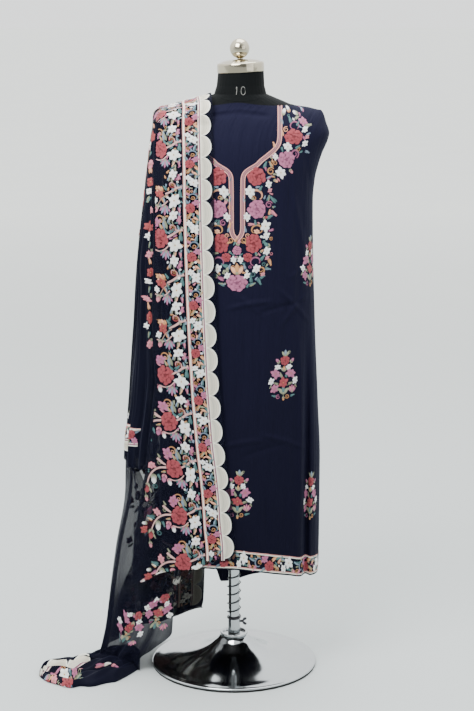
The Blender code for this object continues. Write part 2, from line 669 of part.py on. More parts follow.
def make_dupatta(home, navy):
    """The dupatta's stretches that show, each a wall of its own."""
    front = Vector((0, -1, 0))
    across = spaced(0, 1, 12) + [1.05, 1.10, 1.15, 1.20, 1.30]
    cloth("dupatta_front", front_drop_point, across, spaced(0, 1, 20),
          DUPATTA_WALL, front, navy, home)
    cloth("dupatta_turned_end", turned_end_point, spaced(0, 1, 12), spaced(0, 1, 3),
          DUPATTA_WALL, Vector((0, 1, 0)), navy, home)
    cloth("dupatta_side_pleats", side_pleat_point, spaced(0, 1, 22), spaced(0, 1, 12),
          DUPATTA_WALL, Vector((-1, 0, 0)), navy, home)
    cloth("dupatta_shoulder", shoulder_point, spaced(0, 1, 9), spaced(0, 1, 12),
          DUPATTA_WALL, Vector((0, 0, 1)), navy, home)
    cloth("dupatta_back", back_drop_point, spaced(0, 1, 22), spaced(0, 1, 20),
          DUPATTA_WALL, Vector((-1, 0, 0)), navy, home)
    make_tail(home, navy)


def main():
    home = clear_collection("salwar_kameez_suit")
    chrome = material("chrome", (0.62, 0.62, 0.62), 0.12, 1.0)
    steel = material("dark_steel", (0.10, 0.10, 0.105), 0.35, 1.0)
    rubber = material("black_rubber", (0.01, 0.01, 0.01), 0.7)
    black = material("form_cover", (0.012, 0.013, 0.014), 0.8)
    navy = material("navy_crepe", (0.012, 0.014, 0.040), 0.75)
    sheer = material("sheer_navy", (0.010, 0.011, 0.030), 0.7)
    make_base(home, chrome, rubber)
    make_pole(home, chrome, steel)
    make_cap(home, chrome)
    make_torso(home, black)
    make_kameez(home, navy)
    make_dupatta(home, sheer)


main()
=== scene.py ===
"""Salwar kameez suit on a limbless dress form: its worn cloth, embroidery, form and stand.

Metres, +Z up. X runs to the right of the suit's front and Y to its back.
Flat places on a cloth are (across, up) in metres, as someone who faces its outer side sees them.
"""
import functools
import math
from contextlib import contextmanager

import bmesh
import bpy
import numpy as np
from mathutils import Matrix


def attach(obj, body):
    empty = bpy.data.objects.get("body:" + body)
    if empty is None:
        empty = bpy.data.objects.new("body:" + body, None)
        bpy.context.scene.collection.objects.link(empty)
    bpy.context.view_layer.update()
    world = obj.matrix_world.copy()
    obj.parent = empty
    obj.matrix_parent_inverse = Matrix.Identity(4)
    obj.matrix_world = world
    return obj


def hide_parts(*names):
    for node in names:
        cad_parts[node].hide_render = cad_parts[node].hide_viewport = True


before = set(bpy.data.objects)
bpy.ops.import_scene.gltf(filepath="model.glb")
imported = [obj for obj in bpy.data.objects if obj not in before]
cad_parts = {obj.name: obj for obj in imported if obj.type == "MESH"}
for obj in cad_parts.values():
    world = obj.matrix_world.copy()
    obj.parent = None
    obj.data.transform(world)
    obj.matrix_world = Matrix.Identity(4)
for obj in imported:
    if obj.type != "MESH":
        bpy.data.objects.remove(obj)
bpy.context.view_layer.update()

bl_info = {
    "name": "Salwar Kameez Suit",
    "version": (1, 0, 0),
    "blender": (4, 5, 0),
    "location": "View3D > Sidebar > Suit",
    "description": "Builds the worn cloth, embroidery and stand of a salwar kameez suit",
    "category": "Object",
}

MM = 0.001
BODY = "suit_and_stand"


# ---- sections and small maths ----

class Sections:
    """Rows of numbers against a rising first column, read in between with smooth slopes."""

    def __init__(self, names, rows):
        table = np.array(rows, dtype=float)
        self.names = names.split()
        self.keys = table[:, 0]
        self.columns = {name: table[:, k] for k, name in enumerate(self.names)}
        self.slopes = {name: self.rising(column) for name, column in self.columns.items()}

    def rising(self, column):
        """A slope at each row that never lets the curve overshoot its rows."""
        steps = np.diff(column) / np.diff(self.keys)
        slopes = np.zeros(len(column))
        before, after = steps[:-1], steps[1:]
        same = before * after > 0
        total = np.where(same, before + after, 1.0)
        slopes[1:-1] = np.where(same, 2 * before * after / total, 0.0)
        return slopes

    def __call__(self, name, at):
        keys, column, slopes = self.keys, self.columns[name], self.slopes[name]
        at = np.clip(at, keys[0], keys[-1])
        k = np.clip(np.searchsorted(keys, at) - 1, 0, len(keys) - 2)
        width = keys[k + 1] - keys[k]
        t = (at - keys[k]) / width
        t2, t3 = t * t, t * t * t
        return (column[k] + slopes[k] * width * (t3 - 2 * t2 + t)
                + slopes[k + 1] * width * (t3 - t2)
                + (column[k + 1] - column[k]) * (3 * t2 - 2 * t3))


def smooth(t):
    """From 0 to 1 with level ends."""
    t = np.clip(t, 0.0, 1.0)
    return t * t * (3 - 2 * t)


def bump(value, middle, half_width):
    """A smooth bump, 1 in the middle and 0 from half_width away."""
    t = np.clip(np.abs(value - middle) / half_width, 0.0, 1.0)
    return 0.5 + 0.5 * np.cos(math.pi * t)


def signed_power(value, power):
    """A power that keeps the sign, for an outline between an ellipse and a box."""
    return np.sign(value) * np.abs(value) ** power


def stacked(*coordinates):
    """Points from their coordinates."""
    return np.stack(np.broadcast_arrays(*coordinates), axis=-1).astype(float)


def unit(vectors):
    """Vectors of length 1 in the same directions."""
    return vectors / np.maximum(np.linalg.norm(vectors, axis=-1, keepdims=True), 1e-12)


def quarter_round(t):
    """From 0 to 1 along a quarter of a circle, upright at its start and level at its end."""
    return np.sqrt(np.clip(1 - (1 - np.clip(t, 0.0, 1.0)) ** 2, 0, 1))


def squared_off(share, square):
    """An outline's depth at a share of its half width, from an ellipse towards a box."""
    return np.clip(1 - np.abs(share) ** square, 0, 1) ** (1 / square)


def linear(red, green, blue):
    """A colour given from 0 to 255, as Blender's linear colour."""
    shares = np.array((red, green, blue)) / 255
    return tuple(np.where(shares < 0.04045, shares / 12.92, ((shares + 0.055) / 1.055) ** 2.4))


# ---- the forms that the cloth hangs on and in, as in the part's solids ----

FORM_BOTTOM = 0.740
NECK_TOP = 1.4605
NECK_SHIFT = 0.0165
FORM_EASE = 0.0016
RIDGE_EASE = 0.0040
LAYER_EASE = 0.0035
KAMEEZ_WALL = 0.0012
KAMEEZ_AXIS = 0.008
SHOULDER_ROUND = 0.050
CENTRE_HEM = 0.281
LAP_X = -0.034
LAP_RISE = 0.007
DROP_TOP = 1.345
SHELL = 0.0006               # the visible cloth lies in the middle of its solid's wall

# the torso's sections: half its width, half its depth, and how square its outline is
FORM = Sections("z width depth square", [
    (0.740, 0.156, 0.106, 2.2), (0.758, 0.164, 0.112, 2.2), (0.820, 0.168, 0.116, 2.2),
    (0.900, 0.160, 0.111, 2.2), (0.980, 0.138, 0.098, 2.2), (1.040, 0.124, 0.090, 2.2),
    (1.100, 0.128, 0.094, 2.2), (1.170, 0.142, 0.105, 2.2), (1.240, 0.156, 0.113, 2.3),
    (1.300, 0.168, 0.103, 2.3), (1.340, 0.169, 0.087, 2.3), (1.362, 0.157, 0.076, 2.3),
    (1.3805, 0.1305, 0.067, 2.3), (1.394, 0.1015, 0.0605, 2.2), (1.4035, 0.0785, 0.0570, 2.1),
    (1.4105, 0.0615, 0.0550, 2.0), (1.430, 0.0560, 0.0535, 2.0), (1.4605, 0.0538, 0.0530, 2.0),
])

# the kameez's sections: half widths right and left of its axis, depths before and behind
KAMEEZ = Sections("z right left front back square", [
    (0.170, 0.197, 0.190, 0.120, 0.110, 2.6), (0.325, 0.202, 0.192, 0.121, 0.111, 2.6),
    (0.527, 0.2025, 0.190, 0.122, 0.112, 2.6), (0.675, 0.1962, 0.186, 0.122, 0.114, 2.6),
    (0.860, 0.1875, 0.182, 0.122, 0.120, 2.6), (1.103, 0.1802, 0.176, 0.121, 0.119, 2.5),
    (1.160, 0.1797, 0.175, 0.121, 0.118, 2.5), (1.214, 0.1842, 0.176, 0.121, 0.117, 2.5),
    (1.242, 0.1906, 0.177, 0.120, 0.116, 2.5), (1.272, 0.2002, 0.179, 0.117, 0.113, 2.4),
    (1.305, 0.2140, 0.181, 0.110, 0.107, 2.4), (1.3194, 0.2172, 0.181, 0.105, 0.103, 2.4),
    (1.345, 0.2095, 0.179, 0.094, 0.094, 2.4), (1.366, 0.2026, 0.177, 0.083, 0.084, 2.4),
    (1.3736, 0.1975, 0.174, 0.078, 0.080, 2.4), (1.400, 0.190, 0.172, 0.062, 0.062, 2.4),
])

# the kameez's top edge, by the share of the half width: its height before and behind
TOP_EDGE = Sections("share front back", [
    (0.00, 1.3930, 1.4010), (0.25, 1.3880, 1.3975), (0.38, 1.3862, 1.3930),
    (0.50, 1.3856, 1.3890), (0.60, 1.3856, 1.3870), (0.66, 1.3850, 1.3856),
    (0.72, 1.3838, 1.3838), (0.85, 1.3800, 1.3800), (1.00, 1.3736, 1.3736),
])

# the back panel's hem, by x
BACK_HEM = Sections("x height", [
    (-0.185, 0.262), (-0.100, 0.224), (-0.046, 0.206), (-0.034, 0.173), (-0.010, 0.171),
    (0.056, 0.193), (0.110, 0.208), (0.207, 0.243),
])

FOLD_ROUND = 0.006           # the roundness of the front drop's left fold
TURNED_BACK = 0.016          # the strip turned back behind it
SHOULDER_IN = -0.055         # the shoulder stretch's ridge, from beside the neck outward
SHOULDER_OUT = -0.1895
PLEAT_COUNT = 3.5
PLEATS_BEHIND = 0.0165
PLEATS_SIDE_Y = -0.030
PLEATS_BACK_Y = 0.044
BACK_SHARE = 0.8             # the share of the back drop that the shoulder stretch carries on into

FRONT_DROP = Sections("z right left", [
    (0.230, 0.007, -0.249), (0.300, 0.005, -0.2455), (0.340, 0.004, -0.243),
    (0.402, -0.002, -0.2337), (0.455, -0.005, -0.225), (0.524, -0.0115, -0.2122),
    (0.593, -0.020, -0.2044), (0.680, -0.0270, -0.194), (0.747, -0.0315, -0.186),
    (0.819, -0.0350, -0.1905), (0.914, -0.0390, -0.192), (1.033, -0.0425, -0.188),
    (1.172, -0.0455, -0.188), (1.288, -0.0470, -0.186), (1.345, -0.0484, -0.180),
])
DROP_BOTTOM = Sections("x height", [
    (-0.250, 0.2365), (-0.224, 0.2404), (-0.180, 0.2682), (-0.1465, 0.2783),
    (-0.091, 0.2821), (-0.0646, 0.2960), (0.005, 0.3040),
])
SIDE_PLEATS = Sections("z left fold", [
    (0.520, -0.2560, 0.0100), (0.590, -0.2530, 0.0100), (0.667, -0.2400, 0.0090),
    (0.732, -0.2360, 0.0085), (0.809, -0.2285, 0.0080), (0.903, -0.2225, 0.0075),
    (0.964, -0.2200, 0.0070), (1.001, -0.2225, 0.0070), (1.112, -0.2085, 0.0060),
    (1.167, -0.2030, 0.0050), (1.280, -0.1950, 0.0030), (1.345, -0.1885, 0.0004),
])
BACK_DROP = Sections("z inner_x back_y left_x mid_y front_x front_y", [
    (0.030, -0.130, 0.156, -0.329, 0.007, -0.232, -0.066),
    (0.060, -0.100, 0.154, -0.324, 0.009, -0.200, -0.076),
    (0.106, -0.080, 0.150, -0.317, 0.012, -0.152, -0.078),
    (0.190, -0.076, 0.148, -0.306, 0.020, -0.148, -0.078),
    (0.300, -0.070, 0.145, -0.288, 0.030, -0.165, -0.080),
    (0.450, -0.062, 0.141, -0.262, 0.045, -0.206, -0.050),
    (0.560, -0.056, 0.139, -0.261, 0.060, -0.250, 0.012),
    (0.700, -0.051, 0.137, -0.252, 0.064, -0.241, 0.014),
    (0.850, -0.048, 0.137, -0.243, 0.066, -0.231, 0.016),
    (1.000, -0.046, 0.134, -0.233, 0.066, -0.222, 0.018),
    (1.200, -0.048, 0.131, -0.212, 0.060, -0.204, 0.018),
    (1.300, -0.050, 0.122, -0.199, 0.052, -0.1945, 0.016),
    (1.345, -0.052, 0.108, -0.1920, 0.044, -0.1915, 0.014),
])
DROP_END = Sections("share height", [
    (0.00, 0.090), (0.12, 0.062), (0.25, 0.046), (0.42, 0.032), (0.55, 0.0274), (1.00, 0.0274),
])
SHOULDER_RIDGE = Sections("x height", [
    (-0.1895, 1.3456), (-0.187, 1.3540), (-0.182, 1.3650), (-0.175, 1.3726), (-0.168, 1.3761),
    (-0.155, 1.3789), (-0.140, 1.3828), (-0.125, 1.3862), (-0.105, 1.3925), (-0.085, 1.3995),
    (-0.066, 1.4075), (-0.052, 1.4120),
])
TAIL = Sections("along x y half_width height", [
    (0.00, -0.238, -0.010, 0.052, 0.014), (0.08, -0.262, -0.022, 0.086, 0.024),
    (0.22, -0.296, -0.033, 0.108, 0.026), (0.38, -0.332, -0.049, 0.111, 0.024),
    (0.52, -0.362, -0.067, 0.100, 0.022), (0.68, -0.400, -0.080, 0.092, 0.021),
    (0.84, -0.440, -0.079, 0.069, 0.019), (0.95, -0.467, -0.070, 0.046, 0.015),
    (1.00, -0.480, -0.078, 0.018, 0.008),
])


def lean(z):
    """How far the torso's axis stands right of the pole at a height."""
    return NECK_SHIFT * (z - FORM_BOTTOM) / (NECK_TOP - FORM_BOTTOM)


def form_reach(x, z):
    """How far from its middle the torso holds the cloth off at a place, or 0 beside it."""
    share = np.abs(x - lean(z)) / (FORM("width", z) + RIDGE_EASE)
    reach = FORM("depth", z) * squared_off(share, FORM("square", z)) + FORM_EASE
    return np.where((share >= 1) | (z > NECK_TOP), 0.0, reach)


def side_fold(x, z):
    """The fold at the front's right side: a crest, and a trough behind it, deep at the hem."""
    reach = smooth((0.98 - z) / 0.62)
    return reach * (0.005 * bump(x, 0.156, 0.022) - 0.019 * bump(x, 0.1745, 0.013))


def front_hem(x):
    """The front hem's height: it falls towards the right side."""
    return CENTRE_HEM - np.where(x > 0, 0.10 * x + 0.35 * x * x, 0.02 * x)


def kameez_side(share, column_z):
    """The kameez's half width at a height, on the side that share falls on."""
    return np.where(share > 0, KAMEEZ("right", column_z), KAMEEZ("left", column_z))


# long folds: x at the top and at the bottom, top, bottom, half width and rise
FRONT_FOLDS = (
    (0.118, 0.104, 1.24, 0.72, 0.013, 0.0016), (0.139, 0.131, 1.22, 0.40, 0.012, 0.0022),
    (0.160, 0.148, 1.19, 0.60, 0.010, -0.0016), (0.092, 0.070, 1.10, 0.45, 0.022, 0.0014),
    (0.050, 0.022, 0.93, 0.34, 0.026, 0.0013), (0.131, 0.128, 0.72, 0.30, 0.011, -0.0015),
    (0.020, -0.006, 0.90, 0.30, 0.016, -0.0011), (0.168, 0.166, 1.10, 0.90, 0.008, 0.0018),
)
DROP_FOLDS = (
    (-0.130, -0.165, 1.33, 0.72, 0.010, 0.0038), (-0.142, -0.176, 1.30, 0.76, 0.007, 0.0012),
    (-0.160, -0.196, 1.30, 0.55, 0.010, 0.0030), (-0.104, -0.128, 0.95, 0.36, 0.016, 0.0018),
    (-0.172, -0.215, 0.80, 0.30, 0.012, 0.0026), (-0.088, -0.085, 0.60, 0.30, 0.018, 0.0016),
    (-0.030, -0.020, 0.90, 0.30, 0.014, 0.0012),
)


def long_folds(x, z, folds, sway, top_fade, low_fade):
    """Upright folds that sway a little and fade out at both ends."""
    depth = np.zeros(np.broadcast(x, z).shape)
    for top_x, low_x, top, low, half, rise in folds:
        down = np.clip((top - z) / (top - low), 0.0, 1.0)
        middle = top_x + (low_x - top_x) * down + sway * np.sin(17 * z + 40 * top_x)
        held = smooth((top - z) / top_fade) * smooth((z - low) / low_fade)
        depth = depth + rise * held * bump(x, middle, half)
    return depth


def front_creases(x, z):
    """The front panel's own soft folds: long ones from the bust, drag lines and store creases."""
    depth = long_folds(x, z, FRONT_FOLDS, 0.002, 0.16, 0.20)
    # the cloth sinks in below the neckline's edge
    depth = depth - 0.0048 * bump(z + 0.10 * np.abs(x - 0.010), 1.3700, 0.0085) \
        * smooth((0.080 - np.abs(x - 0.008)) / 0.02)
    for crease in FRONT_WRINKLES:
        depth = depth + wrinkle(x, z, *crease)
    puckers = 0.00045 * np.sin(110 * x + 9 * np.sin(6 * z)) * np.sin(21 * z + 30 * x)
    return depth + puckers * smooth((1.30 - z) / 0.2)


def wrinkle(x, z, x_0, z_0, x_1, z_1, half, rise):
    """A soft ridge, or a trough where rise is below 0, from one place to another."""
    length = math.hypot(x_1 - x_0, z_1 - z_0)
    along_x, along_z = (x_1 - x_0) / length, (z_1 - z_0) / length
    far = (x - x_0) * along_x + (z - z_0) * along_z
    off = (x - x_0) * along_z - (z - z_0) * along_x + 0.006 * np.sin(3.1 * far / length + rise)
    held = smooth(far / (0.3 * length)) * smooth((length - far) / (0.3 * length))
    return 2.1 * rise * held * bump(off, 0.0, 0.85 * half)


# the front panel's wrinkles: from x and z to x and z, half width and rise
FRONT_WRINKLES = (
    (-0.030, 0.914, 0.105, 0.936, 0.011, 0.0017), (0.045, 0.902, 0.185, 0.932, 0.011, -0.0015),
    (0.095, 0.972, 0.190, 0.862, 0.010, 0.0018), (0.105, 0.868, 0.190, 0.962, 0.010, 0.0015),
    (0.000, 0.955, 0.070, 0.892, 0.011, 0.0013), (-0.040, 0.582, 0.090, 0.602, 0.012, 0.0016),
    (0.050, 0.618, 0.180, 0.572, 0.011, 0.0016), (0.010, 0.556, 0.130, 0.590, 0.011, -0.0013),
    (0.148, 0.960, 0.160, 0.380, 0.012, 0.0024), (0.168, 0.880, 0.176, 0.330, 0.010, -0.0022),
    (0.182, 0.930, 0.190, 0.350, 0.009, 0.0020), (0.122, 0.660, 0.136, 0.290, 0.014, 0.0016),
    (0.132, 1.215, 0.168, 0.985, 0.012, 0.0020), (0.160, 1.290, 0.186, 1.110, 0.011, -0.0018),
    (0.060, 0.860, 0.085, 0.640, 0.016, 0.0012), (0.020, 0.440, 0.035, 0.290, 0.014, 0.0014),
    (0.070, 0.500, 0.082, 0.300, 0.014, -0.0013), (0.185, 1.040, 0.120, 0.985, 0.010, 0.0013),
)


def back_waves(x, z):
    """Soft upright waves of the back panel, and the pinned lap that ends in its low corner."""
    reach = smooth((1.05 - z) / 0.80)
    waves = 0.006 * np.sin(38 * x + 0.6) + 0.003 * np.sin(71 * x)
    lap = LAP_RISE * smooth((x - LAP_X) / 0.004) * (1 - smooth((x - LAP_X - 0.03) / 0.06))
    return reach * (waves + lap)


def back_creases(x, z):
    """The back panel's finer folds: a pull from the pinned waist, and store creases."""
    depth = 0.0015 * bump(x + 0.10 * (1.05 - z), 0.075, 0.020) * smooth((1.15 - z) / 0.3)
    depth = depth - 0.0013 * bump(x - 0.06 * (1.05 - z), 0.125, 0.014) * smooth((1.12 - z) / 0.3)
    for lift, height in ((0.0014, 1.085), (-0.0012, 1.062), (0.0010, 1.030)):
        depth = depth + lift * bump(z + 0.35 * np.abs(x - 0.01), height, 0.012) \
            * bump(x, 0.02, 0.13)
    puckers = 0.0003 * np.sin(140 * x + 7 * np.sin(7 * z)) * np.sin(19 * z - 26 * x)
    return depth + puckers * smooth((1.33 - z) / 0.2)


def kameez_point(angle, down, face):
    """Points of a kameez panel: angle from -90 at the left side to 90 at the right, down from 0
    at the top edge to 1 at the hem, and face -1 for the front panel and 1 for the back."""
    turn = np.radians(angle)
    where = "front" if face < 0 else "back"
    share = signed_power(np.sin(turn), 2 / 2.5)
    top = TOP_EDGE(where, np.abs(share))
    hem_x = KAMEEZ_AXIS + kameez_side(share, 0.25) * share
    hem = front_hem(hem_x) if face < 0 else BACK_HEM("height", hem_x)
    z = top + (hem - top) * down
    x = KAMEEZ_AXIS + kameez_side(share, z) * share
    full = KAMEEZ(where, z) * squared_off(share, KAMEEZ("square", z))
    edge = form_reach(x, top)
    rounded = quarter_round((top - z) / SHOULDER_ROUND)
    depth = edge + (np.maximum(full, edge) - edge) * rounded
    within = 1 - np.abs(share) ** 8
    if face < 0:
        depth = depth + side_fold(x, z) * (1 - np.abs(share) ** 12)
        depth = depth + front_creases(x, z) * within
    else:
        depth = depth + back_waves(x, z) * (1 - share ** 4)
        depth = depth + back_creases(x, z) * within
    depth = np.maximum(depth, form_reach(x, z)) + SHELL * (1 - np.abs(share) ** 6)
    return stacked(x, face * np.maximum(depth, 0.0001), z)


def kameez_front_depth(x, z):
    """How far the kameez's front stands before the pole's plane, seen from outside."""
    off = x - KAMEEZ_AXIS
    share = np.minimum(np.abs(off) / kameez_side(off, z), 1.0)
    full = KAMEEZ("front", z) * squared_off(share, KAMEEZ("square", z))
    rounded = quarter_round((TOP_EDGE("front", share) - z) / SHOULDER_ROUND)
    return np.maximum(full * rounded, form_reach(x, z)) + KAMEEZ_WALL


def drop_waves(x, z):
    """The front drop's soft upright waves, strongest at the left fold and the bottom."""
    reach = smooth((1.30 - z) / 0.9)
    return reach * (0.0045 * bump(x, -0.150, 0.045) + 0.006 * bump(x, -0.222, 0.040)
                    + 0.003 * bump(x, -0.060, 0.040))


def drop_folds(x, z):
    """The front drop's finer folds: pleats pressed in the vine, and small ripples."""
    ripples = 0.0005 * (1 + np.sin(120 * x + 5 * np.sin(9 * z)) * np.sin(14 * z + 20 * x))
    return long_folds(x, z, DROP_FOLDS, 0.0, 0.12, 0.16) + ripples


def drop_depth(x, z, fine=True):
    """How far the front drop stands forward: on the kameez, then hanging wide of its side."""
    wide = 0.33 - 0.095 * smooth((z - 1.05) / 0.25)
    reach = KAMEEZ("front", z) + KAMEEZ_WALL + LAYER_EASE
    hanging = reach * squared_off((x - 0.03) / wide, 2.6)
    resting = kameez_front_depth(x, z) + LAYER_EASE
    depth = np.maximum(hanging, resting) + drop_waves(x, z)
    if fine:
        depth = depth + drop_folds(x, z) * smooth((1.345 - z) / 0.05)
    return depth


def front_drop_point(across, down):
    """Points of the front drop: across from 0 at its right edge to 1 at its left fold, to 1.2
    round the fold and to 1.3 along the strip that is turned back."""
    across, down = np.broadcast_arrays(across, down)
    z = np.full(across.shape, DROP_TOP)
    for _ in range(3):
        right = FRONT_DROP("right", z)
        left = FRONT_DROP("left", z) + FOLD_ROUND
        x = right + (left - right) * np.minimum(across, 1.0)
        z = DROP_TOP + (DROP_BOTTOM("height", x) - DROP_TOP) * down
    y = -drop_depth(x, z)
    turn = math.pi * np.clip((across - 1.0) / 0.2, 0.0, 1.0)
    x = x - FOLD_ROUND * np.sin(turn) + np.maximum(across - 1.2, 0.0) / 0.1 * TURNED_BACK
    y = y + FOLD_ROUND * (1 - np.cos(turn))
    return stacked(x, y - SHELL, z)


def turned_end_point(across, down):
    """Points of the end turned up behind the front drop's bottom, one scallop hanging below."""
    x = -0.222 + 0.155 * across
    low = DROP_BOTTOM("height", x) + 0.004 - 0.030 * bump(x, -0.136, 0.016)
    z = low + 0.095 * (1 - down)
    return stacked(x, -drop_depth(x, z, fine=False) + 0.0018 + SHELL, z)


def side_pleat_point(across, down):
    """Points of the pleats at the left side, from beside the suit to behind the front drop."""
    across, down = np.broadcast_arrays(across, down)
    low = 0.522 + 0.030 * smooth((0.45 - across) / 0.3)
    z = DROP_TOP + (low - DROP_TOP) * down
    left = SIDE_PLEATS("left", z)
    end_x = FRONT_DROP("left", z) + 0.004
    front = -drop_depth(end_x, z, fine=False) + PLEATS_BEHIND
    turn = math.pi / 2 * np.clip((across - 0.35) / 0.65, 0.0, 1.0)
    t = 1 - across / 0.35
    beside = across < 0.35
    sweep = left + (0.004 + 0.022 * smooth((DROP_TOP - z) / 0.35)) * t * t
    x = np.where(beside, sweep, left + (end_x - left) * (1 - np.cos(turn)))
    y = np.where(beside, PLEATS_SIDE_Y + (PLEATS_BACK_Y - PLEATS_SIDE_Y) * t,
                 PLEATS_SIDE_Y + (front - PLEATS_SIDE_Y) * np.sin(turn))
    wave = np.sin(2 * math.pi * PLEAT_COUNT * across + 0.9)
    fold = SIDE_PLEATS("fold", z) * wave * smooth((1 - across) / 0.15) \
        * smooth(across / 0.1 + 0.3)
    crimp = smooth((DROP_TOP - z) / 0.3) * smooth((1 - across) / 0.2)
    fine = 0.0016 * np.sin(2 * math.pi * 11 * across + 8 * z) \
        + 0.0010 * np.sin(2 * math.pi * 17 * across - 5 * z)
    fold = fold + crimp * fine + SHELL
    return stacked(x - fold * np.cos(turn), y - fold * np.sin(turn) * 0.4, z)


DROP_MIDDLE = (-0.15, 0.03)      # what the back drop goes round


def away(points):
    """Level directions out from what the back drop goes round."""
    return unit(points[..., :2] - np.array(DROP_MIDDLE))


def back_drop_point(share, down):
    """Points of the back drop: share from 0 at its inner edge behind, round the left side, to
    1 at its front edge, and down from 0 at its top to 1 at its lower edge."""
    share, down = np.broadcast_arrays(share, down)
    z = DROP_TOP + (DROP_END("height", share) - DROP_TOP) * down
    row = {name: BACK_DROP(name, z) for name in BACK_DROP.names[1:]}
    turn = math.pi / 2 * share / 0.6
    round_turn = math.pi / 2 * (share - 0.6) / 0.4
    behind = share < 0.6
    x = np.where(behind, row["inner_x"] + (row["left_x"] - row["inner_x"]) * np.sin(turn),
                 row["front_x"] + (row["left_x"] - row["front_x"]) * np.cos(round_turn))
    y = np.where(
        behind,
        row["mid_y"] + (row["back_y"] - row["mid_y"]) * np.clip(np.cos(turn), 0, 1) ** 0.8,
        row["mid_y"] + (row["front_y"] - row["mid_y"]) * np.sin(round_turn))
    reach = smooth((1.25 - z) / 1.0) * np.sin(math.pi * share)
    wave = reach * 0.010 * np.sin(2 * math.pi * 4.5 * share + 0.8)
    held = smooth((1.30 - z) / 0.4) * smooth(share / 0.08) * smooth((1 - share) / 0.05)
    fine = 0.0022 * np.sin(2 * math.pi * 10.5 * share + 5 * z) \
        + 0.0012 * np.sin(2 * math.pi * 19 * share - 7 * z + 1.0)
    points = stacked(x, y, z)
    points[..., :2] += away(points) * (wave + held * fine + SHELL)[..., None]
    return points


def shoulder_point(across, over):
    """Points of the stretch over the left shoulder: over from 0 in front to 1 behind."""
    front = front_drop_point(across, 0.0)
    back = back_drop_point(BACK_SHARE * across, 0.0)
    ridge_x = SHOULDER_IN + (SHOULDER_OUT - SHOULDER_IN) * across
    ridge_z = SHOULDER_RIDGE("height", ridge_x) + SHELL
    rim = np.where((over < 0.5)[..., None], front, back)
    turn = math.pi * over
    arch = np.sin(turn) ** 0.8
    level = np.abs(signed_power(np.cos(turn), 0.8))
    ripple = 0.0004 * np.sin(math.pi * over) * (1 + np.sin(46 * across))
    return stacked(rim[..., 0] + (ridge_x - rim[..., 0]) * (1 - level),
                   rim[..., 1] * level,
                   rim[..., 2] + (ridge_z - rim[..., 2]) * arch + ripple)


def tail_height(x, y):
    """The height of the trailing stretch's top over a place on the floor."""
    along = np.interp(-x, -TAIL.columns["x"], TAIL.keys)
    side = (y - TAIL("y", along)) / TAIL("half_width", along)
    ripple = 0.80 + 0.20 * np.cos(3 * math.pi * side + 4 * along)
    inside = np.clip(1 - np.abs(side) ** 4, 0, 1)
    over = (x > -0.480) & (x < -0.238)
    return np.where(over, TAIL("height", along) * inside ** 0.5 * ripple + 0.0022, 0.0)


# ---- cloth as a grid, and a way to find flat places on it ----

def walked(points, axis):
    """How far each point lies from the first one along an axis of the grid."""
    steps = np.linalg.norm(np.diff(points, axis=axis), axis=-1)
    far = np.cumsum(steps, axis=axis)
    first = np.zeros_like(np.take(far, [0], axis=axis))
    return np.concatenate([first, far], axis=axis)


def grid_normals(points, outward):
    """A unit normal at each point of a grid, on the side that outward shows at its middle."""
    down = np.gradient(points, axis=0)
    across = np.gradient(points, axis=1)
    normals = unit(np.cross(across, down))
    rows, columns = points.shape[:2]
    middle = normals[rows // 2, columns // 2]
    return normals if middle @ np.array(outward) > 0 else -normals


def read_grid(grid, row, column):
    """Values of a grid in between its rows and columns."""
    rows, columns = grid.shape[:2]
    row = np.clip(row, 0, rows - 1.0001)
    column = np.clip(column, 0, columns - 1.0001)
    r, c = row.astype(int), column.astype(int)
    fr, fc = (row - r)[:, None], (column - c)[:, None]
    upper = grid[r, c] * (1 - fc) + grid[r, c + 1] * fc
    lower = grid[r + 1, c] * (1 - fc) + grid[r + 1, c + 1] * fc
    return upper * (1 - fr) + lower * fr


class Cloth:
    """A grid of points, with each point's place on the flat pattern that the cloth carries."""

    MISSED = 0.0008               # a stitch further than this off its place is left out

    def __init__(self, points, outward, across, heights):
        self.points = points
        self.normals = grid_normals(points, outward)
        self.flat = np.stack([across, heights], axis=-1)

    def find(self, places, flat=None, start=None):
        """The rows and columns of flat places, by closing in on each from a starting cell."""
        flat = self.flat if flat is None else flat
        rows, columns = flat.shape[:2]
        row, column = (np.full(len(places), at) for at in (start or (rows / 2, columns / 2)))
        for _ in range(16):
            r = np.clip(row.astype(int), 0, rows - 2)
            c = np.clip(column.astype(int), 0, columns - 2)
            right = flat[r, c + 1] - flat[r, c]
            low = flat[r + 1, c] - flat[r, c]
            off = places - read_grid(flat, row, column)
            area = right[:, 0] * low[:, 1] - right[:, 1] * low[:, 0]
            area = np.where(np.abs(area) < 1e-12, 1e-12, area)
            column = column + (off[:, 0] * low[:, 1] - off[:, 1] * low[:, 0]) / area
            row = row + (right[:, 0] * off[:, 1] - right[:, 1] * off[:, 0]) / area
            column = np.clip(column, 0, columns - 1)
            row = np.clip(row, 0, rows - 1)
        return row, column

    def seen(self, x, z, start=None):
        """The flat place of the point of the cloth that is seen at x and z from the front."""
        row, column = self.find(np.array([[x, z]]), self.points[..., [0, 2]], start)
        return read_grid(self.flat, row, column)[0]

    def lay(self, places, lift):
        """Points over flat places, lifted off the cloth, and which of them lie on it at all."""
        row, column = self.find(places)
        normal = unit(read_grid(self.normals, row, column))
        missed = np.linalg.norm(read_grid(self.flat, row, column) - places, axis=1)
        points = read_grid(self.points, row, column) + normal * lift[:, None]
        return points, missed < self.MISSED


class JoinedCloth:
    """Two cloths that carry one flat pattern, the second from a height of it on."""

    def __init__(self, first, second, height):
        self.first, self.second, self.height = first, second, height

    def lay(self, places, lift):
        """Points over flat places and which of them lie on a cloth, as a cloth's own lay."""
        points, held = self.first.lay(places, lift)
        above = places[:, 1] >= self.height
        if above.any():
            points[above], held[above] = self.second.lay(places[above], lift[above])
        return points, held


